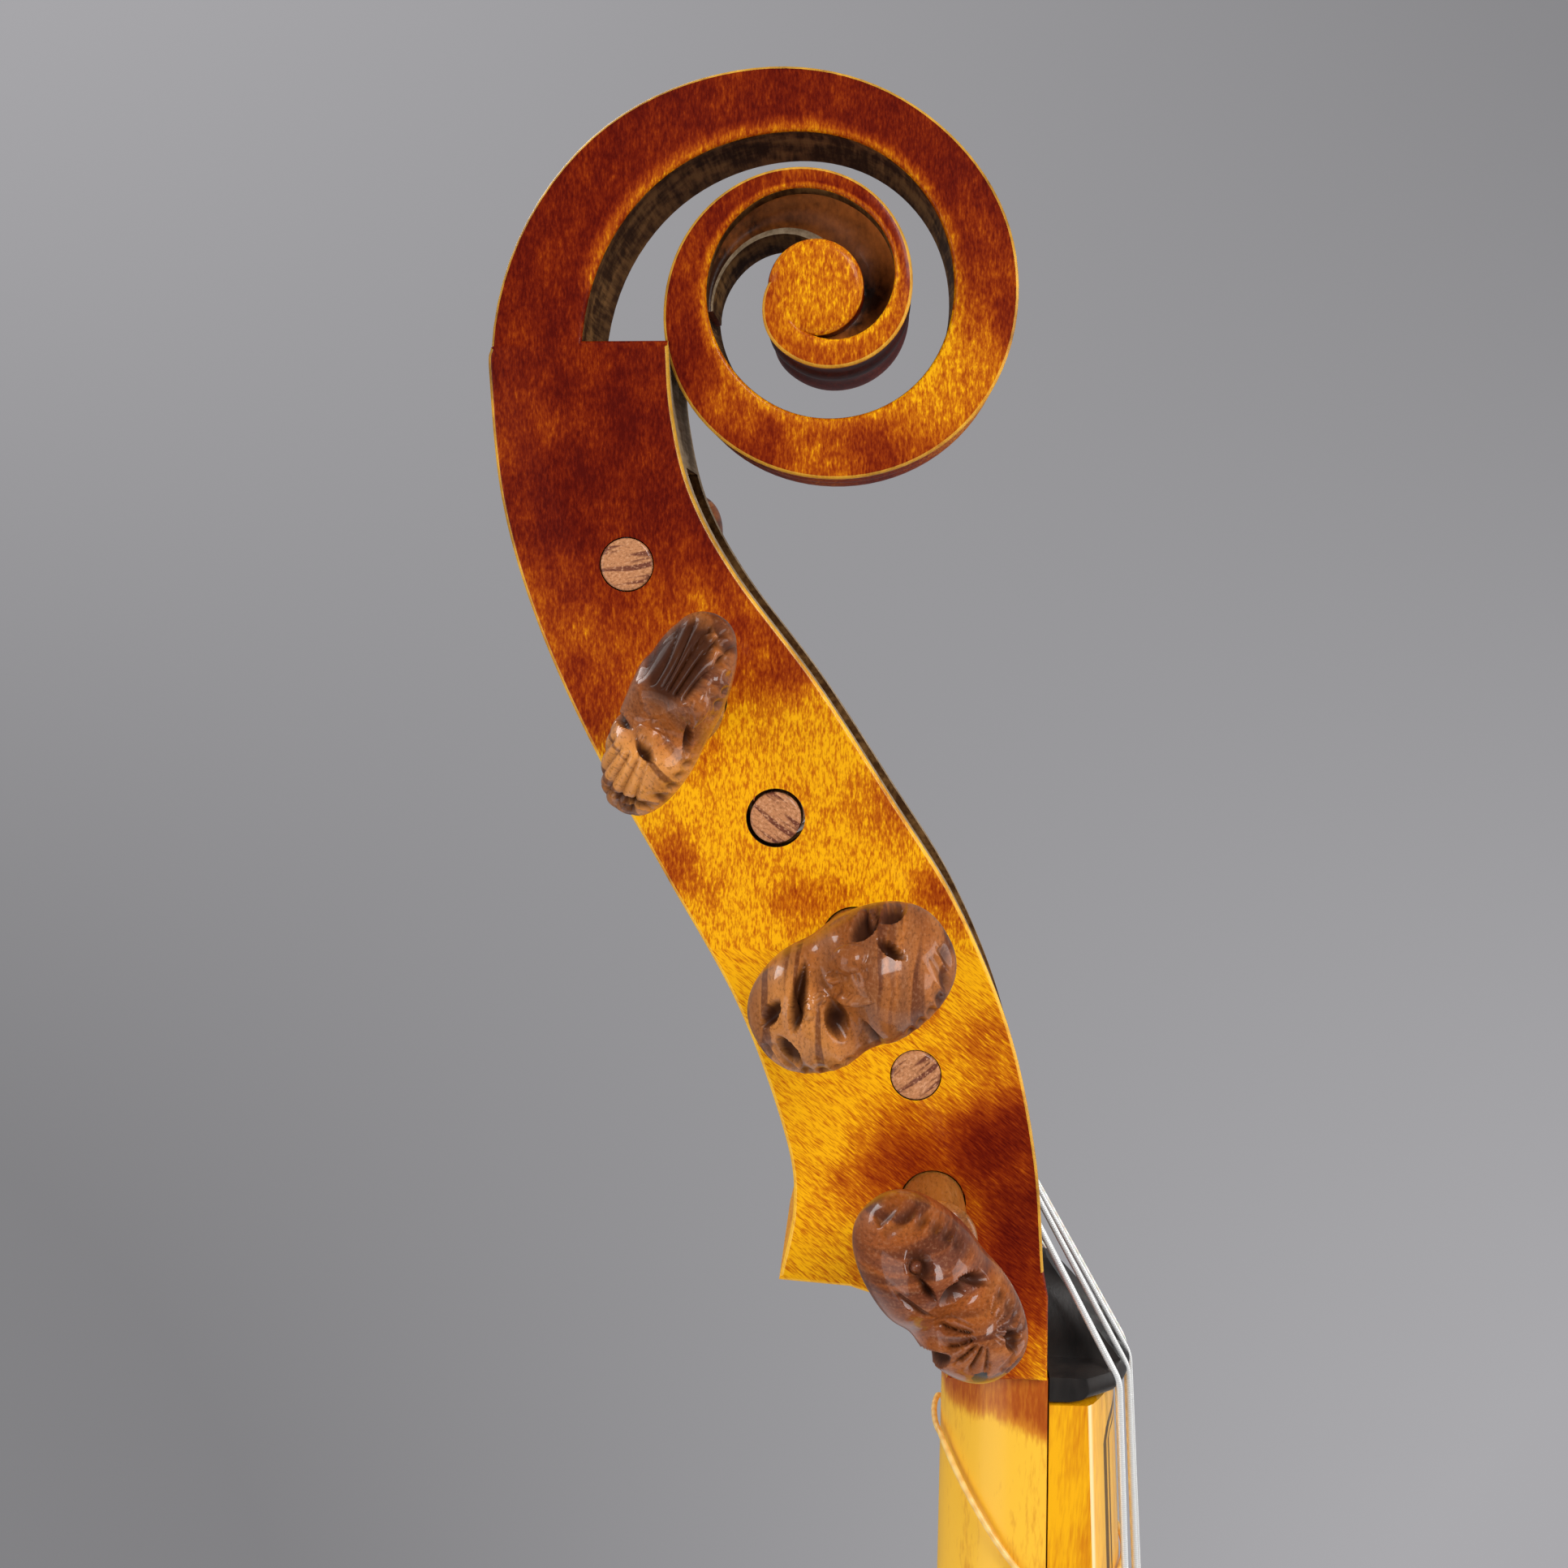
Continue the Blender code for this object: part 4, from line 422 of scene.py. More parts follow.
def inside_finish(name, dark, pale):
    """The sawn inner faces and the front faces of the pegbox's walls, pale there as a painted highlight: brown, dull,
    with tool marks across them, paler mid-way and darker towards both sides as painted shade.
    """
    finish = Finish(name, specular=0.06)
    x, p, q = neck_coordinates(finish)
    cloud = finish.noise(x * 120.0, p * 120.0, q * 120.0, 4.0, 0.6)
    marks = finish.noise(x * 60.0, p * 900.0, q * 900.0, 3.0, 0.6)
    # Painted shade: darker towards both sides of the head.
    middle = (x * x).smooth(0.00016, 0.0)
    tone = (cloud * 0.6 + marks * 0.4).smooth(0.40, 0.64) * (0.45 + middle * 0.55)
    finish.set("Base Color", finish.blend(tone, dark, pale))
    finish.set("Roughness", 0.72 + cloud * 0.2)
    finish.bump(marks, 0.25 * MM, 0.7)
    return finish.material


def web_finish():
    """The scooped web: near black beside the eye and where it is deepest, as painted shade, red-brown up the cove and
    lighter above the eye, as painted light.
    """
    finish = Finish("web_varnish_painted_shade_and_light", coat=0.7, coat_roughness=0.16, specular=0.3)
    x, p, q = neck_coordinates(finish)
    cloud = finish.noise(x * 90.0, p * 90.0, q * 90.0, 4.0, 0.6)
    grain = finish.noise(x * 500.0, p * 900.0, q * 700.0, 2.0, 0.6)
    # Painted shade and light: near black deep in the web, lighter up the cove towards the rim.
    rise = (x * x).smooth(0.00006, 0.00030)
    # Painted light: the cove above the eye is coloured lighter.
    above = (q + (p - EYE_CENTRE[0]) * 0.3 - EYE_CENTRE[1]).smooth(0.001, 0.011)
    tone = (rise * 0.7 + above * 0.45 + (cloud - 0.5) * 1.5 + (grain - 0.5) * 0.7).math("MAXIMUM", 0.0)
    finish.set("Base Color", finish.blend(tone.math("MINIMUM", 1.0), (0.032, 0.0090, 0.0024), (0.58, 0.160, 0.028)))
    finish.set("Roughness", 0.30 + cloud * 0.2)
    finish.bump(cloud * 0.7 + grain * 0.3, 0.5 * MM, 0.5)
    return finish.material


def plain_varnish(name, gold, red, straight=False, purfled=False):
    """Varnish on the body: flamed maple, or spruce with straight year rings along it."""
    finish = Finish(name, coat=0.35, coat_roughness=0.14, specular=0.25)
    x, y, z = finish.place()
    cloud = finish.noise(x * 9.0, y * 9.0, z * 9.0, 4.0, 0.6)
    patch = finish.noise(x * 60.0, y * 60.0, z * 40.0, 3.0, 0.6)
    pores = finish.noise(x * 1500.0, y * 1500.0, z * 260.0, 2.0, 0.6)
    if straight:
        drift = finish.noise(x * 6.0, 0.0, z * 2.0, 2.0, 0.5)
        rings = finish.noise(x * 520.0 + drift * 14.0, y * 30.0, z * 1.5, 1.0, 0.4)
        figure = rings.smooth(0.40, 0.64)
        depth = 0.10 + figure * 0.22
    else:
        bend = finish.noise(x * 24.0, y * 24.0, z * 12.0, 2.0, 0.5)
        figure = finish.noise(x * 10.0, y * 10.0, z * 150.0 + bend * 2.6, 2.0, 0.5).smooth(0.30, 0.70)
        depth = 0.24 + figure * 0.17
    depth = depth + (cloud - 0.5) * 0.8 + (patch - 0.5) * 0.4 + (pores - 0.5) * 0.55
    colour = finish.varnish(depth.math("MAXIMUM", 0.0), gold, red)
    if purfled:
        inset = finish.attribute("inset")
        edge = inset.smooth(2.2 * MM, 0.4 * MM) * inset.smooth(-0.5 * MM, 0.0)
        colour = finish.blend(edge * 0.45, colour, (0.95, 0.58, 0.11))
        dark = double_line(inset, 3.6 * MM) + double_line(inset, 6.4 * MM)
        colour = finish.blend(dark.math("MINIMUM", 0.92), colour, (0.03, 0.018, 0.012))
    finish.set("Base Color", colour)
    finish.set("Roughness", 0.26 + patch * 0.16)
    finish.bump(figure * 0.5 + pores * 0.4, 0.07 * MM, 0.5)
    return finish.material


def double_line(inset, place):
    """Two dark threads with a pale one between them, centred at a distance from the edge."""
    away = abs(inset - place)
    return away.smooth(0.20 * MM, 0.28 * MM) * away.smooth(0.72 * MM, 0.62 * MM)


def peg_wood(ground):
    """Peg wood: broad bands and thin dark lines in planes along the peg, short pale pores, darker in the carved hollows
    as painted shade, tan along the shaft and dull pink on the end that lies in the far wall."""
    finish = Finish("rosewood", coat_roughness=0.07, specular=0.12)
    across, deep, out, hollow, pale = (finish.attribute(name)
                                       for name in ("across", "deep", "out", "hollow", "pale"))
    bend = finish.noise(across * 70.0, deep * 50.0, out * 30.0, 2.0, 0.5)
    band = finish.noise(across * 190.0 + bend * 1.6, deep * 22.0, out * 14.0, 2.0, 0.5)
    line = finish.noise(across * 460.0 + bend * 2.6, deep * 30.0, out * 16.0, 1.0, 0.5)
    pore = finish.noise(across * 2300.0, deep * 1500.0, out * 420.0, 2.0, 0.6)
    brown = tuple(part * 0.80 for part in ground)
    colour = finish.blend(band.smooth(0.36, 0.60), brown, (0.34, 0.085, 0.014))
    colour = finish.blend(band.smooth(0.56, 0.70) * 0.7, colour, (0.56, 0.190, 0.045))
    colour = finish.blend((pale * (0.25 + band * 0.9)).math("MINIMUM", 0.9), colour, (0.84, 0.34, 0.075))
    colour = finish.blend(bend.smooth(0.52, 0.40) * 0.55, colour, (0.20, 0.050, 0.012))
    colour = finish.blend(line.smooth(0.55, 0.66) * 0.75, colour, (0.10, 0.024, 0.010))
    shaft = out.smooth(0.050, 0.042) * out.smooth(0.0, 0.010)
    colour = finish.blend(shaft * 0.7, colour, (0.42, 0.175, 0.028))
    end = out.smooth(0.0, -0.010)
    colour = finish.blend(end * 0.85, colour, (0.56, 0.250, 0.110))
    stripe = finish.noise(across * 700.0 + bend * 2.0, deep * 60.0, 0.0, 2.0, 0.5)
    colour = finish.blend(stripe.smooth(0.50, 0.62) * end * 0.85, colour, (0.115, 0.022, 0.016))
    colour = finish.blend(pore.smooth(0.54, 0.66) * (end * 0.5 + 0.12), colour, (0.72, 0.38, 0.20))
    colour = finish.blend(pore.smooth(0.46, 0.36) * 0.35, colour, tuple(part * 0.25 for part in ground))
    # Painted shade: near black in the carved hollows.
    colour = finish.blend(hollow * 0.94, colour, (0.040, 0.009, 0.002))
    finish.set("Base Color", colour)
    finish.set("Coat Weight", 0.50 - hollow * 0.42)
    finish.set("Roughness", 0.26 + pore * 0.14 + end * 0.25 + hollow * 0.3)
    finish.bump(pore * 0.6 + line * 0.4, 0.04 * MM, 0.4)
    return finish.material


def ebony_finish():
    """Near black, with a soft polish and faint long pores."""
    finish = Finish("ebony", coat=0.15)
    x, y, z = finish.place()
    pores = finish.noise(x * 1800.0, y * 1800.0, z * 200.0, 2.0, 0.6)
    cloud = finish.noise(x * 90.0, y * 90.0, z * 40.0, 3.0, 0.6)
    finish.set("Base Color", finish.blend(cloud.smooth(0.35, 0.75), (0.010, 0.009, 0.009), (0.035, 0.028, 0.024)))
    finish.set("Roughness", 0.26 + pores * 0.18)
    finish.bump(pores, 0.05 * MM, 0.4)
    return finish.material


def bare_wood(name, pale, dark, roughness=0.6):
    """Unvarnished wood with year rings."""
    finish = Finish(name, coat=0.0)
    x, y, z = finish.place()
    cloud = finish.noise(x * 20.0, y * 20.0, z * 8.0, 3.0, 0.5)
    rings = finish.noise(x * 560.0, y * 560.0, z * 6.0 + cloud, 2.0, 0.5)
    finish.set("Base Color", finish.blend(rings.smooth(0.38, 0.66), pale, dark))
    finish.set("Roughness", roughness + rings * 0.15)
    finish.bump(rings, 0.05 * MM, 0.4)
    return finish.material


def gut_finish(name, colour, deep):
    """Twisted gut: pale and a little clear, with a slow twist and small knots of tone."""
    finish = Finish(name, coat=0.2)
    along = finish.attribute("along")
    x, y, z = finish.place()
    cloud = finish.noise(x * 300.0, y * 300.0, z * 300.0, 3.0, 0.6)
    twist = finish.math("SINE", along * 2100.0 + cloud * 3.0) * 0.5 + 0.5
    finish.set("Base Color", finish.blend((cloud * 0.7 + twist * 0.3).smooth(0.3, 0.75), colour, deep))
    finish.set("Roughness", 0.34 + cloud * 0.15)
    finish.set("Subsurface Weight", 0.15)
    finish.set("Subsurface Scale", 0.001)
    finish.bump(twist, 0.03 * MM, 0.4)
    return finish.material


def wound_finish():
    """Silvered wire laid close round a core."""
    finish = Finish("wound_string", metallic=0.35)
    along = finish.attribute("along")
    x, y, z = finish.place()
    cloud = finish.noise(x * 200.0, y * 200.0, z * 60.0, 3.0, 0.6)
    wire = finish.math("SINE", along * (2.0 * math.pi / (0.42 * MM))) * 0.5 + 0.5
    finish.set("Base Color", finish.blend(wire * 0.5 + cloud * 0.3, (0.95, 0.95, 0.93), (0.66, 0.66, 0.64)))
    finish.set("Roughness", 0.30 + cloud * 0.15)
    finish.bump(wire, 0.05 * MM, 0.6)
    return finish.material


# Shapes
def neck_place(x, p, q):
    """World points of the neck frame: the origin, plus p away from the strings' side, plus q up the neck."""
    x, p, q = np.broadcast_arrays(x, p, q)
    y = NECK_Y - p * math.cos(NECK_TILT) + q * math.sin(NECK_TILT)
    z = NECK_Z + p * math.sin(NECK_TILT) + q * math.cos(NECK_TILT)
    return np.stack([x, y, z], axis=-1)


def neck_parts(y, z):
    """p and q of a world place."""
    y, z = y - NECK_Y, z - NECK_Z
    return (z * math.sin(NECK_TILT) - y * math.cos(NECK_TILT), z * math.cos(NECK_TILT) + y * math.sin(NECK_TILT))


def mix(low, high, share):
    return low + (high - low) * share


def curve_through(points, steps):
    """A cubic through the points whose tangent at each is half the step between its neighbours."""
    rows = np.array(points, dtype=float)
    padded = np.vstack([2.0 * rows[0] - rows[1], rows, 2.0 * rows[-1] - rows[-2]])
    a, b, c, d = (padded[start:start + len(rows) - 1][:, None, :] for start in range(4))
    t = (np.arange(steps) / steps)[None, :, None]
    made = 0.5 * (2.0 * b + (c - a) * t + (2.0 * a - 5.0 * b + 4.0 * c - d) * t ** 2
                  + (3.0 * b - a - 3.0 * c + d) * t ** 3)
    return np.vstack([made.reshape(-1, rows.shape[1]), rows[-1:]])


def bezier(start, first, second, end, count):
    """A cubic of four handles at evenly spaced shares."""
    t = np.linspace(0.0, 1.0, count)[:, None]
    start, first, second, end = (np.array(point) for point in (start, first, second, end))
    return (1 - t) ** 3 * start + 3 * t * (1 - t) ** 2 * first + 3 * t ** 2 * (1 - t) * second + t ** 3 * end


def skin(name, rings, wrap=False, slots=None, values=None, angle=35.0, smooth=True):
    """Closed rings of points joined in order, with flat ends unless the last ring joins the first."""
    rings = np.asarray(rings, dtype=float)
    rows, columns, _ = rings.shape
    index = np.arange(rows * columns).reshape(rows, columns)
    if wrap:
        index = np.vstack([index, index[:1]])
    low, high = index[:-1], index[1:]
    quads = np.stack([low, np.roll(low, -1, 1), np.roll(high, -1, 1), high], axis=-1).reshape(-1, 4)
    faces = quads.tolist()
    if not wrap:
        faces += [index[0][::-1].tolist(), index[-1].tolist()]
    mesh = bpy.data.meshes.new(name)
    mesh.from_pydata(rings.reshape(-1, 3).tolist(), [], faces)
    if slots is not None:
        picked = np.zeros(len(faces), dtype=np.int32)
        picked[:len(quads)] = np.broadcast_to(slots, low.shape).reshape(-1)
        mesh.polygons.foreach_set("material_index", picked)
    for key, value in (values or {}).items():
        layer = mesh.attributes.new(key, "FLOAT", "POINT")
        layer.data.foreach_set("value", np.broadcast_to(value, (rows, columns)).reshape(-1).astype(np.float32))
    settle(mesh)
    if smooth:
        mesh.shade_smooth()
        mesh.set_sharp_from_angle(angle=math.radians(angle))
    made = bpy.data.objects.new(name, mesh)
    bpy.context.scene.collection.objects.link(made)
    return made


def settle(mesh):
    """Merge points that meet, and turn all faces outwards."""
    bm = bmesh.new()
    bm.from_mesh(mesh)
    bmesh.ops.remove_doubles(bm, verts=bm.verts, dist=1e-7)
    bmesh.ops.dissolve_degenerate(bm, edges=bm.edges, dist=1e-8)
    bmesh.ops.recalc_face_normals(bm, faces=bm.faces)
    bm.to_mesh(mesh)
    bm.free()


def tube(name, path, radius, reference, sides=12, wrap=False):
    """A round profile carried along a path: its plane is spanned by the reference direction made square
    to the path, and by that direction's cross product with the path."""
    path = np.asarray(path, dtype=float)
    if wrap:
        along = np.roll(path, -1, 0) - np.roll(path, 1, 0)
    else:
        along = np.gradient(path, axis=0)
    along /= np.linalg.norm(along, axis=1)[:, None]
    reference = np.asarray(reference, dtype=float)
    first = reference - along * (along @ reference)[:, None]
    first /= np.linalg.norm(first, axis=1)[:, None]
    second = np.cross(along, first)
    turn = 2.0 * math.pi * np.arange(sides) / sides
    radius = np.broadcast_to(radius, len(path))[:, None, None]
    rings = path[:, None, :] + radius * (first[:, None, :] * np.cos(turn)[None, :, None]
                                         + second[:, None, :] * np.sin(turn)[None, :, None])
    steps = np.linalg.norm(np.diff(path, axis=0), axis=1)
    length = np.concatenate([[0.0], np.cumsum(steps)])[:, None]
    return skin(name, rings, wrap=wrap, values={"along": length})


def carve(made, *tools):
    """Apply Booleans in order: each tool is a pair of operation and object, which is then removed."""
    for operation, tool in tools:
        step = made.modifiers.new(tool.name, "BOOLEAN")
        step.operation = operation
        step.solver = "EXACT"
        step.object = tool
    apply_all(made)
    for _, tool in tools:
        bpy.data.objects.remove(tool, do_unlink=True)
    return made


def apply_all(made):
    bpy.context.view_layer.update()
    seen = made.evaluated_get(bpy.context.evaluated_depsgraph_get())
    mesh = bpy.data.meshes.new_from_object(seen)
    made.modifiers.clear()
    made.data = mesh


def finish_piece(made, body, materials, replaced=(), angle=35.0):
    """Give a piece its materials and its body, and hide the parts that it replaces."""
    data = made.data
    picked = np.zeros(len(data.polygons), dtype=np.int32)
    data.polygons.foreach_get("material_index", picked)
    data.materials.clear()
    for entry in materials:
        data.materials.append(entry)
    data.polygons.foreach_set("material_index", np.minimum(picked, len(materials) - 1))
    data.shade_smooth()
    data.set_sharp_from_angle(angle=math.radians(angle))
    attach(made, body)
    for node in replaced:
        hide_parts(node)


# Head
def pegbox_half(q):
    return mix(PEGBOX_HALF_LOW, PEGBOX_HALF_HIGH, np.clip(q / PEGBOX_TOP, 0.0, 1.0))


def peg_list():
    """Side, p, q and joint name of each peg, from the frame's joints."""
    made = []
    for joint in frame["record"]["behaviour"]["joints"]:
        if joint["name"].startswith("peg_"):
            p, q = neck_parts(joint["pos_m"][1], joint["pos_m"][2])
            made.append((int(joint["axis"][0]), p, q, joint["child"]))
    return made


PEGS = peg_list()


def flute(x, half, depth):
    """Two hollows beside a middle spine: a squared sine that is nothing at the spine and at the rims."""
    share = np.clip(np.abs(x) / (half - 2.0 * MM), 0.0, 1.0)
    return depth * np.sin(math.pi * share) ** 2


def inset_outline(outline, distance):
    """A closed outline moved inwards along its normals."""
    along = np.roll(outline, -1, 0) - np.roll(outline, 1, 0)
    along /= np.maximum(np.linalg.norm(along, axis=1)[:, None], 1e-9)
    return outline + np.stack([along[:, 1], -along[:, 0]], axis=1) * distance


def slab(name, outline, half_of, rounding, hollow=0.0, hollow_mask=None, worn=None, filed=None):
    """An outline of (p, q) given a width that follows its height: its rim is a quarter round, worn
    where the mask says so, and the masked stretch is hollowed by the flutes."""
    steps = np.linspace(0.0, 1.0, 6)
    near = rounding * (1.0 - np.cos(steps * math.pi / 2.0)) if rounding else np.array([0.0])
    inset = rounding * (1.0 - np.sin(steps * math.pi / 2.0)) if rounding else np.array([0.0])
    middle = np.linspace(-1.0, 1.0, 25)[1:-1] if hollow else np.array([])
    rings = []
    p, q = outline[:, 0], outline[:, 1]
    half = half_of(q)
    for side, order in ((-1, slice(None)), (1, slice(None, None, -1))):
        for away, draw in list(zip(near, inset))[order]:
            moved = inset_outline(outline, draw)
            rings.append((side, neck_place(side * (half - away), moved[:, 0], moved[:, 1])))
    low = [ring for side, ring in rings if side < 0]
    high = [ring for side, ring in rings if side > 0]
    between = []
    for share in middle:
        x = share * (half - rounding)
        moved = inset_outline(outline, flute(x, half, hollow)[:, None] * hollow_mask[:, None])
        between.append(neck_place(x, moved[:, 0], moved[:, 1]))
    every = low + between + high
    edge_rows = len(near) - 1
    slots = np.zeros((len(every) - 1, len(outline)), dtype=np.int32)
    if rounding:
        slots[1:edge_rows] = worn
        slots[-edge_rows:-1] = worn
        slots[edge_rows:-edge_rows] = filed * 3
    made = skin(name, every, slots=slots)
    if not rounding:
        made.data.polygons.foreach_set("material_index", np.full(len(made.data.polygons), 2, dtype=np.int32))
    return made


def spiral_line(angles):
    """Outer radius, inner radius and half width of the scroll's band at each angle."""
    table = curve_through(SPIRAL, 12)
    return [np.interp(angles, table[:, 0], table[:, column]) * MM for column in (1, 2, 3)]


def spiral_rings(angles, x, radius):
    """Points at a radius about the eye, each ring turned by its angle."""
    turn = np.radians(angles)[:, None]
    return neck_place(x, EYE_CENTRE[0] + radius * np.sin(turn), EYE_CENTRE[1] + radius * np.cos(turn))


def band_profile(outer, inner, half, rounding, hollow):
    """The band's section: a fluted outer face, four quarter rounds and a slightly hollow inner face,
    with a line on each side where the rubbed strip along the inner edge begins."""
    outer, inner, half = (value[:, None] for value in (outer, inner, half))
    corner = np.minimum(rounding, (outer - inner) * 0.3)
    face = np.linspace(-1.0, 1.0, 25)[None, :]
    turn = np.linspace(0.0, math.pi / 2.0, 5)[None, 1:]
    flat = half - corner
    line = mix(inner + corner, outer - corner, RIM_REACH)
    x = [face * flat, flat + corner * np.sin(turn), half, flat + corner * np.cos(turn),
         -face * flat, -flat - corner * np.sin(turn), -half, -flat - corner * np.cos(turn)]
    sunk = np.minimum(flute(face * flat, half, hollow), (outer - inner) * 0.2)
    bowl = np.minimum(0.8 * MM, (outer - inner) * 0.08) * (1.0 - face ** 2)
    radius = [outer - sunk, outer - corner + corner * np.cos(turn), line, inner + corner - corner * np.sin(turn),
              inner + bowl, inner + corner - corner * np.cos(turn), line, outer - corner + corner * np.sin(turn)]
    widths = [part.shape[1] for part in x]
    slots = np.repeat((0, 1, 0, 0, 2, 0, 0, 1), widths)
    slots[sum(widths[:2]) - 1] = 0
    rows = len(outer)
    return (np.hstack([np.broadcast_to(part, (rows, part.shape[1])) for part in x]),
            np.hstack([np.broadcast_to(part, (rows, part.shape[1])) for part in radius]), slots)


def scroll_band(rounding, hollow):
    """The section carried round the spiral."""
    angles = np.arange(SPIRAL[0][0], SPIRAL[-1][0] + 0.1, 4.0)
    x, radius, slots = band_profile(*spiral_line(angles), rounding, hollow)
    return skin("scroll_band", spiral_rings(angles, x, radius), slots=slots[None, :])


def mark_rim(mesh):
    """An attribute that is 1 along the inner edges of the band's two turns and 0 elsewhere."""
    place = np.zeros(len(mesh.vertices) * 3, dtype=np.float32)
    mesh.vertices.foreach_get("co", place)
    x, y, z = place.reshape(-1, 3).astype(float).T
    p, q = neck_parts(y, z)
    across, up = p - EYE_CENTRE[0], q - EYE_CENTRE[1]
    rim = np.zeros(len(x), dtype=np.float32)
    for turn in (0.0, 360.0):
        angle = np.degrees(np.arctan2(across, up)) + turn
        _, inner, half = spiral_line(angle)
        on_band = (angle > RIM_FROM) & (np.abs(x) > half - RIM_CATCH)
        rim[on_band & (np.abs(np.hypot(across, up) - inner) < RIM_CATCH)] = 1.0
    mesh.attributes.new("rim", "FLOAT", "POINT").data.foreach_set("value", rim)


def scroll_web():
    """The scooped floor between the eye and the last turn: it leaves the rim as a ledge, widens to
    the eye, and rises in a cove to the rim and to a low ridge along its free edge."""
    angles = np.arange(WEB_FROM, WEB_TO + 1.0, 4.0)
    _, rim, half = (value[:, None] for value in spiral_line(angles))
    grown = np.clip((angles[:, None] - WEB_FROM) / WEB_GROWTH, 0.0, 1.0) ** 1.3
    low = mix(rim - 0.6 * MM, EYE_RADIUS * 0.6, grown)
    depth = np.interp(angles, WEB_ANGLES, WEB_DEPTHS)[:, None] * MM
    face = np.linspace(0.0, 1.0, 17)[None, :]
    cove = np.minimum(depth * 0.55, 4.5 * MM)
    height = half - depth + cove * face ** 3 - 2.2 * MM * np.sin(math.pi * face) * np.minimum(grown * 3.0, 1.0)
    radius = np.hstack([mix(low, rim + 1.5 * MM, face), mix(rim + 1.5 * MM, low, face)])
    slots = np.full((1, radius.shape[1]), 4, dtype=np.int32)
    slots[0, :3] = slots[0, -4:-1] = 3
    slots[0, -1] = 2
    return skin("scroll_web", spiral_rings(angles, np.hstack([height, -height[:, ::-1]]), radius), slots=slots)


def scroll_eye():
    """A turned button on each side, with a rounded rim and a slight dome."""
    profile = np.array([(-21.3, 0.02), (-21.25, 3.0), (-21.15, 5.5), (-21.05, 7.4), (-20.8, 8.3), (-20.2, 8.9),
                        (-19.3, 9.1)])
    profile = np.vstack([profile, profile[::-1] * (-1.0, 1.0)]) * MM
    turn = 2.0 * math.pi * np.arange(64) / 64
    radius = profile[:, 1][:, None]
    rings = neck_place(profile[:, 0][:, None], EYE_CENTRE[0] + radius * np.sin(turn),
                       EYE_CENTRE[1] + radius * np.cos(turn))
    return skin("scroll_eye", rings)


def head_outline():
    back = curve_through(BACK_POINTS, 12) * MM
    front = curve_through(FRONT_POINTS, 12) * MM
    foot = np.array([(-GAP, 22.0 * MM), (-GAP, 14.0 * MM), (-GAP, HEAD_START)])
    chin = curve_through(CHIN_POINTS, 8) * MM
    corner = np.array([(back[-1][0] + 1.3 * MM, PEGBOX_TOP)])
    flat = np.stack([np.linspace(-3.0, -17.0, 6) * MM, np.full(6, HEAD_START)], axis=1)
    outline = np.vstack([back, corner, front, foot, flat, chin])
    outline[:, 1] = np.maximum(outline[:, 1], HEAD_START)
    share = np.linspace(0.0, 1.0, len(back))
    mask = np.zeros(len(outline))
    mask[:len(back)] = np.clip((share - 0.05) / 0.2, 0.0, 1.0)
    place = np.arange(len(outline))
    filed = (place > len(back)) & (place < len(back) + len(front))
    worn = filed | (place < len(back) - 1) | (place >= len(outline) - len(chin))
    return back, outline, mask, worn.astype(np.int32), filed.astype(np.int32)


def cavity_tool(back):
    """The hollow of the pegbox, between its walls."""
    keep = (back[:, 1] > 52.0 * MM) & (back[:, 1] < CAVITY_TOP - 12.0 * MM)
    floor = back[keep] + (FLOOR, 0.0)
    outline = np.vstack([floor, [(floor[-1][0] + 8.0 * MM, CAVITY_TOP), (-40.0 * MM, CAVITY_TOP + 1.0 * MM)],
                         np.array([(20.0, 90.0), (20.0, 25.0), (0.0, 24.5), (-18.0, 26.0), (-30.0, 29.0),
                                   (-37.5, 40.0)]) * MM])
    return slab("pegbox_cavity", outline, lambda q: pegbox_half(q) - WALL, 0.0)


def channel_tool(side):
    """Room beside the nut's dome for an outer string."""
    outline = np.array([(5.0, 10.0), (-0.6, 10.0), (-16.0, 24.0), (-21.0, 33.0), (5.0, 33.0)]) * MM
    near = neck_place(side * (DOME_HALF + 0.5 * MM), outline[:, 0], outline[:, 1])
    far = neck_place(side * (pegbox_half(outline[:, 1]) - WALL), outline[:, 0], outline[:, 1])
    return skin(f"side_channel_{side}", [near, far], smooth=False)


def hole_tool(number):
    side, p, q, _ = PEGS[number]
    reach = pegbox_half(q) + 6.0 * MM
    x = np.array([-reach, reach])[:, None]
    radius = peg_radius(number, x) + PEG_ROOM[number] * MM
    turn = 2.0 * math.pi * np.arange(48) / 48
    return skin(f"peg_hole_{number}", neck_place(x, p + radius * np.cos(turn), q + radius * np.sin(turn)),
                smooth=False, slots=np.array([[2]]))


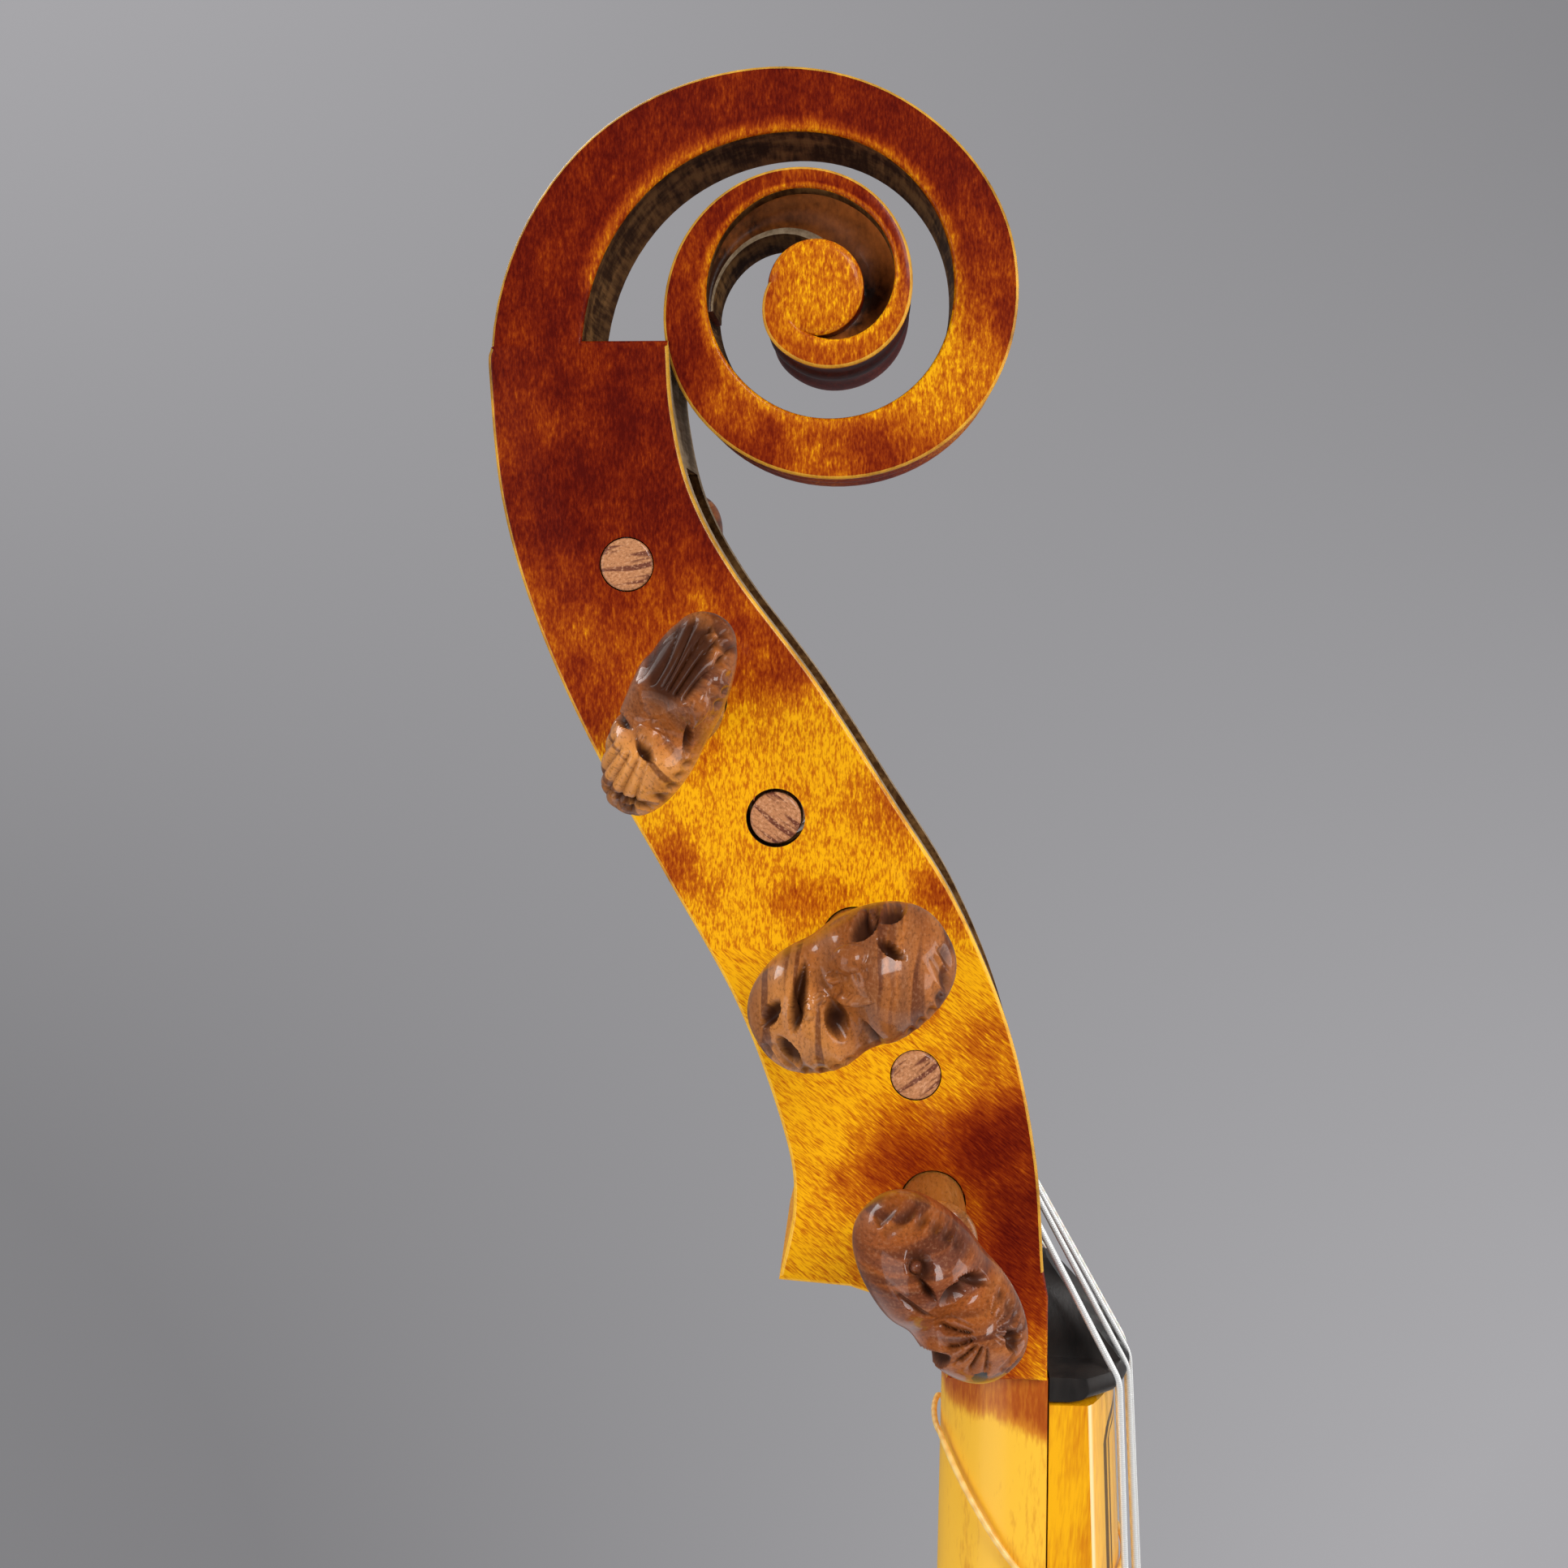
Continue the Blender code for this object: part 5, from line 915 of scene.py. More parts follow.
class ViolHead(Operator):
    """Carve the pegbox and the open scroll with fluted back, rounded edges, sunk web and eye"""
    bl_idname = "viol.head"
    bl_label = "Head"

    def execute(self, context):
        sizes = context.scene.viol
        gold, red = tuple(sizes.gold), tuple(sizes.red)
        back, outline, mask, worn, filed = head_outline()
        made = slab("head_carved", outline, pegbox_half, sizes.edge_round, sizes.flute_depth, mask, worn, filed)
        slots = [head_varnish("head_varnish", gold, red), head_varnish("worn_edge", gold, red, worn=True),
                 inside_finish("sawn_inside", (0.060, 0.024, 0.007), (0.36, 0.180, 0.055)),
                 # The walls' front faces are pale grey-tan as a painted highlight along the front edge.
                 inside_finish("front_painted_highlight", (0.24, 0.165, 0.095), (0.55, 0.42, 0.28)), web_finish()]
        for slot in slots:
            made.data.materials.append(slot)
        tools = [("DIFFERENCE", cavity_tool(back)),
                 ("UNION", scroll_band(sizes.edge_round, sizes.flute_depth)),
                 ("UNION", scroll_web()), ("UNION", scroll_eye())]
        tools += [("DIFFERENCE", channel_tool(side)) for _, side in SIDES]
        tools += [("DIFFERENCE", hole_tool(number)) for number in range(len(PEGS))]
        for _, tool in tools:
            for slot in slots:
                tool.data.materials.append(slot)
        carve(made, *tools)
        mark_rim(made.data)
        finish_piece(made, "root", slots, ["head"], 32.0)
        return {"FINISHED"}


# Pegs
def peg_radius(number, x):
    side, _, q, _ = PEGS[number]
    return PEG_RADIUS - PEG_TAPER * (pegbox_half(q) - side * x)


def peg_place(number, a, b, out):
    """Points of a peg: out along its axis, a and b across it."""
    side, p, q, _ = PEGS[number]
    return neck_place(side * out, p - b, q - side * a)


def leaf(u, v, row):
    """An almond's swell, nothing at its rim: the square of a parabola along it less the square across it."""
    place_u, place_v, turn, long, wide, height = row
    du, dv = u / MM - place_u, v / MM - place_v
    angle = math.radians(turn)
    along = (du * math.cos(angle) + dv * math.sin(angle)) / long
    across = (dv * math.cos(angle) - du * math.sin(angle)) / wide
    return height * MM * np.maximum(np.maximum(1.0 - along ** 2, 0.0) ** 2 - across ** 2, 0.0) ** 0.7


def flutes(u, v, row):
    """Hollows that spread from a centre: narrow valleys of a rectified sine of the bearing, faded at both ends."""
    place_u, place_v, count, low, high, first, last, depth = row
    du, dv = u / MM - place_u, v / MM - place_v
    reach = np.hypot(du, dv)
    share = np.mod(np.degrees(np.arctan2(dv, du)) - first, 360.0) / (last - first)
    inside = np.clip(np.minimum(share, 1.0 - share) * count * 4.0, 0.0, 1.0) if last - first < 360.0 else 1.0
    faded = np.clip(reach - low, 0.0, 1.0) * np.clip((high - reach) / 1.5, 0.0, 1.0)
    bent = share * count + (reach - low) * 0.03
    return -depth * MM * inside * faded * (1.0 - np.abs(np.sin(math.pi * bent)) ** 0.7)


def peg_profile(number):
    """Distance out and radius along the turned shaft: tapered bearing, bead and collar."""
    side, _, q, _ = PEGS[number]
    half = pegbox_half(q)
    collar = half + PEG_OUTSIDE
    thin = float(peg_radius(number, -side * half))
    rows = [(-half - PEG_PROUD, 0.2 * MM), (-half - PEG_PROUD, thin - 1.2 * MM), (-half - PEG_PROUD, thin - 0.5 * MM),
            (-half - PEG_PROUD + 0.15 * MM, thin - 0.15 * MM), (-half - PEG_PROUD + 0.4 * MM, thin),
            (half + 0.2 * MM, PEG_RADIUS), (half + 9.0 * MM, PEG_RADIUS + 0.1 * MM)]
    for back, proud in ((6.0, 0.3), (4.8, 0.45), (4.4, 0.1), (4.0, 0.5), (3.4, 1.1), (2.8, 1.4), (2.2, 1.5),
                        (1.6, 1.4), (1.0, 1.0), (0.5, 0.2), (0.1, -0.3)):
        rows.append((collar - back * MM, PEG_RADIUS + proud * MM))
    return np.array(rows)


def peg_surface(number, petals):
    """Shaft and heart as one skin. The heart is an egg that broadens outwards, with a cleft between
    its lobes, and its carving moves each point along the egg's normal."""
    kind = PEG_CARVINGS[number]
    _, _, q, _ = PEGS[number]
    profile = peg_profile(number)
    turn = 2.0 * math.pi * np.arange(PEG_COLUMNS)[None, :] / PEG_COLUMNS
    polar = np.linspace(0.33, math.pi - 0.004, 150)[:, None]
    a = np.sin(polar) * np.sign(np.cos(turn)) * np.abs(np.cos(turn)) ** 0.82
    b = np.sin(polar) * np.sign(np.sin(turn)) * np.abs(np.sin(turn)) ** 0.82
    c = -np.cos(polar) * np.ones_like(a)
    height = (c + 1.0) / 2.0
    broad = 0.66 + 0.34 * np.sin(math.pi * np.minimum(height * 0.75, 0.5))
    valley = np.exp(-((a + 0.12) / 0.2) ** 2)
    waist = {"shell": 0.06, "almonds": 0.16, "rosette": 0.16}[kind]
    heart_u = a * broad * PEG_HEAD_WIDTH / 2.0
    heart_v = b * (1.02 - waist * valley * height) * (0.8 + 0.2 * height) * PEG_HEAD_THICKNESS[kind] / 2.0
    start = pegbox_half(q) + PEG_OUTSIDE - 1.2 * MM
    heart_out = start + (height ** 0.92 - 0.15 * valley * np.maximum(c, 0.0) ** 1.5) * PEG_HEAD_HEIGHT
    u = np.vstack([profile[:, 1:] * np.cos(turn), heart_u])
    v = np.vstack([profile[:, 1:] * np.sin(turn), heart_v])
    out = np.vstack([profile[:, :1] * np.ones_like(turn), heart_out])
    place = np.stack([u, v, out], axis=-1)
    along = np.gradient(place, axis=0)
    around = np.roll(place, -1, 1) - np.roll(place, 1, 1)
    normal = np.cross(around, along)
    normal /= np.maximum(np.linalg.norm(normal, axis=-1, keepdims=True), 1e-9)
    relief = np.zeros_like(u)
    for row in LEAVES[kind]:
        relief += leaf(u, v, row)
    for row in FLUTES[kind]:
        relief += flutes(u, v, row)
    top = np.clip(np.vstack([np.full((len(profile), PEG_COLUMNS), -1.0), c]) * 2.2 + 0.2, 0.0, 1.0)
    relief *= top * petals
    share = np.vstack([np.zeros((len(profile), PEG_COLUMNS)), height])
    teeth = np.abs(np.sin(u * math.pi / (2.3 * MM))) * np.exp(-((share - 0.74) / 0.07) ** 2)
    relief -= 0.9 * MM * teeth * (v < 0.0) * np.clip(np.abs(u) / (4.0 * MM) - 0.5, 0.0, 1.0)
    place += normal * relief[..., None]
    angle = math.radians(PEG_TURNS[number])
    x, y = (place[..., 0] * math.cos(angle) - place[..., 1] * math.sin(angle),
            place[..., 0] * math.sin(angle) + place[..., 1] * math.cos(angle))
    dot = np.hypot(u / MM - INLAY_PLACE[0], v / MM - INLAY_PLACE[1]) < INLAY_RADIUS
    slots = (dot & (top > 0.0) & (kind == "rosette")).astype(np.int32)[:-1]
    # hollow carries the painted shade of the carved cuts, by their depth.
    values = {"across": 0.87 * u - 0.5 * v, "deep": 0.5 * u + 0.87 * v, "out": out,
              "hollow": np.clip(-relief / (1.3 * MM), 0.0, 1.0),
              "pale": PALE_SHARES[kind][0] + PALE_SHARES[kind][1] * np.clip(-u / MM / 4.0 - 0.8, 0.0, 1.0)}
    return skin(f"peg_{number + 1}_carved", peg_place(number, x, y, place[..., 2]), slots=slots, values=values)


class ViolPegs(Operator):
    """Turn the six pegs and carve their heart-shaped heads"""
    bl_idname = "viol.pegs"
    bl_label = "Pegs"

    def execute(self, context):
        sizes = context.scene.viol
        slots = [peg_wood(tuple(sizes.rosewood)), ebony_finish()]
        for number, (_, _, _, body) in enumerate(PEGS):
            finish_piece(peg_surface(number, sizes.carving), body, slots, [body], 40.0)
        return {"FINISHED"}


# Neck and fingerboard
def board_half(q):
    return mix(NUT_HALF, BOARD_END_HALF, -q / BOARD_LENGTH)


def board_surface(x, q):
    """Height of the arched board: its crown less the sagitta of its radius."""
    radius = mix(BOARD_NUT_RADIUS, BOARD_END_RADIUS, -q / BOARD_LENGTH)
    crown = mix(BOARD_NUT_CROWN, BOARD_END_CROWN, -q / BOARD_LENGTH)
    return crown - radius + np.sqrt(np.maximum(radius ** 2 - x ** 2, 0.0))


def board_under(q):
    free = np.clip((-q - NECK_FREE - 6.0 * MM) / (BOARD_LENGTH - NECK_FREE - 6.0 * MM), 0.0, 1.0)
    end = board_surface(BOARD_END_HALF, -BOARD_LENGTH) - BOARD_END_SIDE
    return GAP + (end - GAP) * free


class ViolFingerboard(Operator):
    """Lay the arched fingerboard with its double lines of inlay"""
    bl_idname = "viol.fingerboard"
    bl_label = "Fingerboard"

    def execute(self, context):
        sizes = context.scene.viol
        q = np.linspace(-GAP, -BOARD_LENGTH, 92)[:, None]
        face = np.linspace(1.0, -1.0, 49)[None, :]
        half = board_half(q)
        soft = 0.5 * MM
        x = face * half
        top = board_surface(x, q) - soft * np.clip((np.abs(face) - 0.97) / 0.03, 0.0, 1.0) ** 2
        under = board_under(q)
        x = np.hstack([x, -half, half])
        p = np.hstack([top, under, under])
        from_side = half - np.abs(face * half)
        from_nut = -q + from_side * INLAY_SLANT - INLAY_START
        sides = np.full((len(q), 2), -1.0)
        values = {"inset": np.hstack([np.minimum(from_side, from_nut), sides]),
                  "from_side": np.hstack([from_side, sides])}
        made = skin("fingerboard_arched", neck_place(x, p, np.broadcast_to(q, x.shape)), values=values)
        wood = board_finish(tuple(sizes.gold), tuple(sizes.red))
        finish_piece(made, "root", [wood], ["fingerboard"], 25.0)
        return {"FINISHED"}


def board_finish(gold, red):
    """Golden varnish with two threads of dark inlay set in from the edges, a pale line along each edge of the top, and
    the top face lightened as a painted sheen.
    """
    finish = Finish("fingerboard_varnish", coat=0.35, coat_roughness=0.12, specular=0.25)
    x, y, z = finish.place()
    cloud = finish.noise(x * 30.0, y * 30.0, z * 20.0, 4.0, 0.6)
    figure = finish.noise(x * 160.0, y * 160.0, z * 12.0 + cloud, 3.0, 0.5)
    pores = finish.noise(x * 1500.0, y * 1500.0, z * 160.0, 2.0, 0.6)
    depth = 0.12 + (cloud - 0.5) * 0.6 + (figure - 0.5) * 0.5 + (pores - 0.5) * 0.4
    colour = finish.varnish(depth.math("MAXIMUM", 0.0), gold, red)
    from_side = finish.attribute("from_side")
    # Painted sheen: the top face is coloured lighter than the sides.
    face = from_side.smooth(-0.3 * MM, 0.3 * MM)
    colour = finish.blend(face * 0.45, colour, (1.0, 0.62, 0.16))
    colour = finish.blend(face * from_side.smooth(0.9 * MM, 0.4 * MM) * 0.9, colour, (1.0, 0.80, 0.42))
    inset = finish.attribute("inset")
    dark = abs(inset - INLAY_INSET).smooth(1.00 * MM, 0.75 * MM)
    dark = dark.math("MAXIMUM", abs(inset - INLAY_INSET - INLAY_GAP).smooth(0.45 * MM, 0.25 * MM))
    colour = finish.blend(dark * 0.92, colour, (0.03, 0.015, 0.010))
    finish.set("Base Color", colour)
    finish.set("Roughness", 0.26 + cloud * 0.14)
    finish.bump(figure * 0.6 + pores * 0.4, 0.08 * MM, 0.5)
    return finish.material


def neck_depth(q):
    """Depth of the neck below its flat top, growing into the heel."""
    plain = mix(NECK_DEPTH, NECK_DEPTH_LOW, np.clip(-q / NECK_FREE, 0.0, 1.0))
    heel = np.clip((-q - NECK_FREE + HEEL_LENGTH) / HEEL_LENGTH, 0.0, 1.0)
    return plain + (HEEL_DEPTH - plain) * heel ** 2.6


def neck_ring(q, turn, extra=0.0):
    """A superellipse below the flat top: half width and depth by q, squarer at the heel."""
    heel = np.clip((-q - NECK_FREE + HEEL_LENGTH) / HEEL_LENGTH, 0.0, 1.0)
    half = mix(board_half(np.minimum(q, 0.0)) - 0.4 * MM, TOP_HALF - 1.0 * MM, heel ** 2) + extra
    power = mix(0.85, 0.5, heel)
    x = half * np.sign(np.cos(turn)) * np.abs(np.cos(turn)) ** power
    return x, -(neck_depth(q) + extra) * np.abs(np.sin(turn)) ** 0.9


def neck_finish(gold, red):
    """Thin golden varnish on the neck in long soft streaks, paler than the head's gold as painted light, and darker
    next to the head as painted shade.
    """
    finish = Finish("neck_varnish", coat=0.30, coat_roughness=0.22, specular=0.25)
    x, p, q = neck_coordinates(finish)
    cloud = finish.noise(x * 30.0, p * 30.0, q * 18.0, 4.0, 0.6)
    streak = finish.noise(x * 150.0, p * 150.0, q * 14.0 + cloud, 3.0, 0.6)
    fleck = finish.noise(x * 1500.0, p * 1500.0, q * 300.0, 2.0, 0.6)
    # Painted shade: the neck is darker next to the head.
    depth = (q + (cloud - 0.5) * 0.010 + p * 0.2).smooth(-0.0100, -0.0035) * 0.50 - 0.04
    depth = depth + (cloud - 0.5) * 0.50 + (streak - 0.5) * 0.50 + (fleck - 0.5) * 0.4
    # Painted light: the neck's gold is paler than the head's.
    pale = tuple(mix(low, high, 0.70) for low, high in zip(gold, (1.0, 0.58, 0.05)))
    finish.set("Base Color", finish.varnish(depth.math("MAXIMUM", 0.0), pale, red))
    finish.set("Roughness", 0.28 + cloud * 0.14)
    finish.bump(fleck * 0.4 + streak * 0.6, 0.06 * MM, 0.5)
    return finish.material


class ViolNeck(Operator):
    """Round the neck and its heel"""
    bl_idname = "viol.neck"
    bl_label = "Neck"

    def execute(self, context):
        sizes = context.scene.viol
        turn = np.linspace(0.0, math.pi, 65)[None, :]
        q = np.linspace(HEAD_START - GAP, -NECK_FREE + 7.0 * MM, 90)[:, None]
        x, p = neck_ring(q, turn)
        q = np.broadcast_to(q, x.shape)
        end_x, end_p = neck_ring(np.array([[-NECK_FREE]]), turn)
        end_q = (BODY_TOP + GAP - NECK_Z - end_p * math.sin(NECK_TILT)) / math.cos(NECK_TILT)
        rings = np.vstack([neck_place(x, p, q), neck_place(end_x, end_p, end_q)])
        made = skin("neck_rounded", rings)
        wood = neck_finish(tuple(sizes.gold), tuple(sizes.red))
        finish_piece(made, "root", [wood], ["neck"], 40.0)
        return {"FINISHED"}


# Nut and strings
def string_x(number, spacing):
    return (3.5 - number) * spacing


def nut_crest(x):
    return board_surface(x, 0.0) + NUT_CLEARANCE


def lead(number):
    """Where a taut string bears on nut and shafts before its own peg, as (p, q)."""
    own = PEG_OF_STRING[number] - 1
    diameter = STRING_DIAMETERS[number - 1]
    stops = []
    for other, (_, p, q, _) in enumerate(PEGS):
        if q <= PEGS[own][2] + 1e-6:
            radius = float(peg_radius(other, 0.0)) + WINDING_LIFT + diameter / 2.0
            stops.append((p + radius * math.cos(STRING_LEAN), q + radius * math.sin(STRING_LEAN)))
    stops.sort(key=lambda stop: stop[1])
    route = [(float(nut_crest(string_x(number, NUT_SPACING))), 0.55 * NUT_LENGTH)]
    while route[-1] != stops[-1]:
        p, q = route[-1]
        ahead = [stop for stop in stops if stop[1] > q]
        route.append(max(ahead, key=lambda stop: (stop[0] - p) / (stop[1] - q)))
    return route[:-1]


def winding(number):
    """Turns of the string round its peg, then a dive into the shaft, as (x, p, q)."""
    peg = PEG_OF_STRING[number] - 1
    side, p, q, _ = PEGS[peg]
    half = pegbox_half(q)
    nut_x = string_x(number, NUT_SPACING)
    turns = TURNS[number - 1]
    diameter = STRING_DIAMETERS[number - 1]
    pitch = diameter + TURN_GAP
    room = half - WALL - WALL_CLEARANCE - diameter / 2.0
    first = min(abs(nut_x) * STRING_DRAW, room - pitch * turns)
    base = float(peg_radius(peg, side * (half - WALL))) + WINDING_LIFT + diameter / 2.0
    from_p, from_q = lead(number)[-1]
    leave = math.atan2(q - from_q, from_p - p)
    start = math.acos(base / math.hypot(q - from_q, from_p - p)) - leave
    share = np.linspace(0.0, turns + 0.2, int((turns + 0.2) * 60) + 1)
    angle = start + 2.0 * math.pi * share
    radius = base - (base - 2.0 * MM) * np.clip((share - turns) / 0.2, 0.0, 1.0) ** 1.5
    along = np.minimum(share, turns)
    return np.stack([math.copysign(1.0, nut_x) * (first + pitch * along), p + radius * np.cos(angle),
                     q + radius * np.sin(angle)], axis=1)


def tail_frame():
    """The tailpiece's axes: across, out of its face and along, and its length."""
    on_bridge = np.array([0.0, BELLY_CROWN_Y - BRIDGE_HEIGHT, BRIDGE_Z])
    along = on_bridge - TAIL_BOTTOM
    length = float(np.linalg.norm(along)) - AFTER_LENGTH
    along = along / np.linalg.norm(along)
    across = np.array([1.0, 0.0, 0.0])
    return across, -np.cross(along, across), along, length


def tail_arch(x, half):
    return TAIL_ARCH * (1.0 - (x / half) ** 2) * half / TAIL_TOP_HALF


def tail_place(x, rise, z):
    """World points on the tailpiece: rise above its middle plane, z along it."""
    across, normal, along, _ = tail_frame()
    return TAIL_BOTTOM + across * x + normal * rise + along * z


def rounded(points, cut):
    """A route whose corners become short parabolas that start a set distance before each corner."""
    made = [points[0]]
    for before, here, after in zip(points, points[1:], points[2:]):
        back, ahead = before - here, after - here
        reach = min(cut, np.linalg.norm(back) * 0.4, np.linalg.norm(ahead) * 0.4)
        start = here + back / np.linalg.norm(back) * reach
        end = here + ahead / np.linalg.norm(ahead) * reach
        for t in np.linspace(0.0, 1.0, 6):
            made.append((1 - t) ** 2 * start + 2 * t * (1 - t) * here + t ** 2 * end)
    made.append(points[-1])
    return np.array(made)


def string_route(number):
    """The string from its knot under the tailpiece over bridge and nut to its peg."""
    _, normal, _, length = tail_frame()
    diameter = STRING_DIAMETERS[number - 1]
    x = string_x(number, BRIDGE_SPACING)
    sag = BRIDGE_ARCH_RADIUS - math.sqrt(BRIDGE_ARCH_RADIUS ** 2 - x ** 2)
    on_bridge = np.array([x, BELLY_CROWN_Y - BRIDGE_HEIGHT + sag, BRIDGE_Z])
    place = length - TAIL_HOLE_INSET
    half = mix(TAIL_BOTTOM_HALF, TAIL_TOP_HALF, place / length)
    hole = tail_place(x * 0.72, tail_arch(x * 0.72, half), place)
    lift = TAIL_THICKNESS / 2.0 + diameter / 2.0 + GAP
    edge_x = mix(x * 0.72, x, TAIL_HOLE_INSET / (TAIL_HOLE_INSET + AFTER_LENGTH))
    edge = tail_place(edge_x, tail_arch(edge_x, TAIL_TOP_HALF) + lift, length)
    top = hole + normal * lift
    towards = (edge - top) / np.linalg.norm(edge - top)
    nut_x = string_x(number, NUT_SPACING)
    turns = winding(number)
    route = [hole - normal * (TAIL_THICKNESS / 2.0 + 4.0 * MM), hole, hole + normal * TAIL_THICKNESS / 2.0,
             top + towards * 1.5 * MM, edge, on_bridge,
             neck_place(nut_x, float(nut_crest(nut_x)), 0.55 * NUT_LENGTH)]
    start_q = 0.55 * NUT_LENGTH
    for p, q in lead(number)[1:]:
        share = (q - start_q) / (turns[0][2] - start_q)
        route.append(neck_place(mix(nut_x, turns[0][0], share), p, q))
    return route, turns


class ViolStrings(Operator):
    """Stretch the six strings from the tailpiece to the turns on their pegs"""
    bl_idname = "viol.strings"
    bl_label = "Strings"

    def execute(self, context):
        sizes = context.scene.viol
        gut = gut_finish("gut_string", (0.90, 0.88, 0.82), (0.74, 0.69, 0.58))
        wound = wound_finish()
        for number in range(1, 7):
            route, turns = string_route(number)
            turns = neck_place(*turns.T)
            path = np.vstack([rounded(route + [turns[0]], 2.0 * MM)[:-1], turns])
            radius = STRING_DIAMETERS[number - 1] / 2.0
            made = tube(f"string_{number}_laid", path, radius, (1.0, 0.0, 0.0), sizes.string_sides)
            is_wound = number >= FIRST_WOUND
            finish_piece(made, "root", [wound if is_wound else gut],
                         [f"string_{number}"], 60.0)
        return {"FINISHED"}


class ViolNut(Operator):
    """Shape the black nut with its dome over the pegbox foot and a groove for each string"""
    bl_idname = "viol.nut"
    bl_label = "Nut"

    def execute(self, context):
        share = np.linspace(-1.0, 1.0, 241)[:, None]
        x = share * (NUT_HALF - GAP)
        reach = np.sqrt(np.maximum(0.0, 1.0 - (x / DOME_HALF) ** 2))
        crest = nut_crest(x) - 4.0 * MM * np.maximum(0.0, np.abs(share) - 0.8) / 0.2
        bar = curve_through([(0.06, 0.55), (0.18, 0.88), (0.5, 1.0), (1.0, 0.93)], 5)
        bar_q = np.broadcast_to(bar[:, 0][None, :] * NUT_LENGTH, (len(x), len(bar)))
        bar_p = crest * bar[:, 1][None, :]
        dome = curve_through([(0.0, 0.93), (0.3, 0.62), (0.6, 0.36), (0.85, 0.17), (1.0, 0.05)], 5)[1:]
        dome_q = NUT_LENGTH + NUT_DOME * reach * dome[:, 0] + 0.02 * MM * dome[:, 0]
        dome_p = np.maximum(crest * mix(0.93, dome[:, 1][None, :], reach), 1.2 * MM)
        end = NUT_LENGTH + NUT_DOME * reach + 0.3 * MM
        q = np.hstack([bar_q, dome_q, end, np.full_like(end, GAP)])
        p = np.hstack([bar_p, dome_p, np.full_like(end, GAP), np.full_like(end, GAP)])
        for number in range(1, 7):
            route, turns = string_route(number)
            points = np.array(route[5:] + [neck_place(*turns[0])])
            line_p, line_q = neck_parts(points[:, 1], points[:, 2])
            radius = STRING_DIAMETERS[number - 1] / 2.0 + GAP + 0.05 * MM
            away = x - np.interp(q, line_q, points[:, 0])
            floor = np.interp(q, line_q, line_p) - np.sqrt(np.maximum(radius ** 2 - away ** 2, 0.0))
            p = np.where(np.abs(away) < radius, np.minimum(p, floor), p)
        p = np.maximum(p, GAP)
        rings = neck_place(np.broadcast_to(x, p.shape), p, q)
        made = skin("nut_domed", rings)
        finish_piece(made, "root", [ebony_finish()], ["nut"], 40.0)
        return {"FINISHED"}


class ViolFrets(Operator):
    """Tie the seven gut frets round neck and fingerboard"""
    bl_idname = "viol.frets"
    bl_label = "Frets"

    def execute(self, context):
        gut = gut_finish("gut_fret", (0.92, 0.62, 0.20), (0.80, 0.46, 0.10))
        for index, diameter in enumerate(FRET_DIAMETERS):
            place = -STRING_LENGTH * (1.0 - 2.0 ** (-(index + 1) / 12.0))
            radius = diameter * MM / 2.0
            lift = radius + GAP + 0.05 * MM
            half = float(board_half(place))
            face = np.linspace(1.0, -1.0, 41)
            over_x = face * half
            over_p = board_surface(over_x, place) + lift
            over = np.stack([over_x, over_p, np.full(41, place)], axis=1)
            turn = np.linspace(math.pi, 0.0, 61)
            under_x, under_p = neck_ring(np.full(61, place), turn, lift * 1.08)
            depth = np.clip(-under_p / neck_depth(place), 0.0, 1.0)
            under = np.stack([under_x, under_p, place + FRET_SLANTS[index] * MM * depth ** 1.3], axis=1)
            edge = over[-1]
            side = np.array([(-half - lift, edge[1] - lift - 0.3 * MM, place), (-half - lift, lift, place)])
            other = np.array([(half + lift, lift, place), (half + lift, edge[1] - lift - 0.3 * MM, place)])
            loop = np.vstack([over, side, under[1:-1], other])
            path = neck_place(*loop.T)
            made = tube(f"fret_{index + 1}_tied", path, radius, (0.0, math.sin(NECK_TILT), math.cos(NECK_TILT)),
                        12, wrap=True)
            finish_piece(made, f"fret_{index + 1}", [gut], [f"fret_{index + 1}"], 60.0)
        return {"FINISHED"}


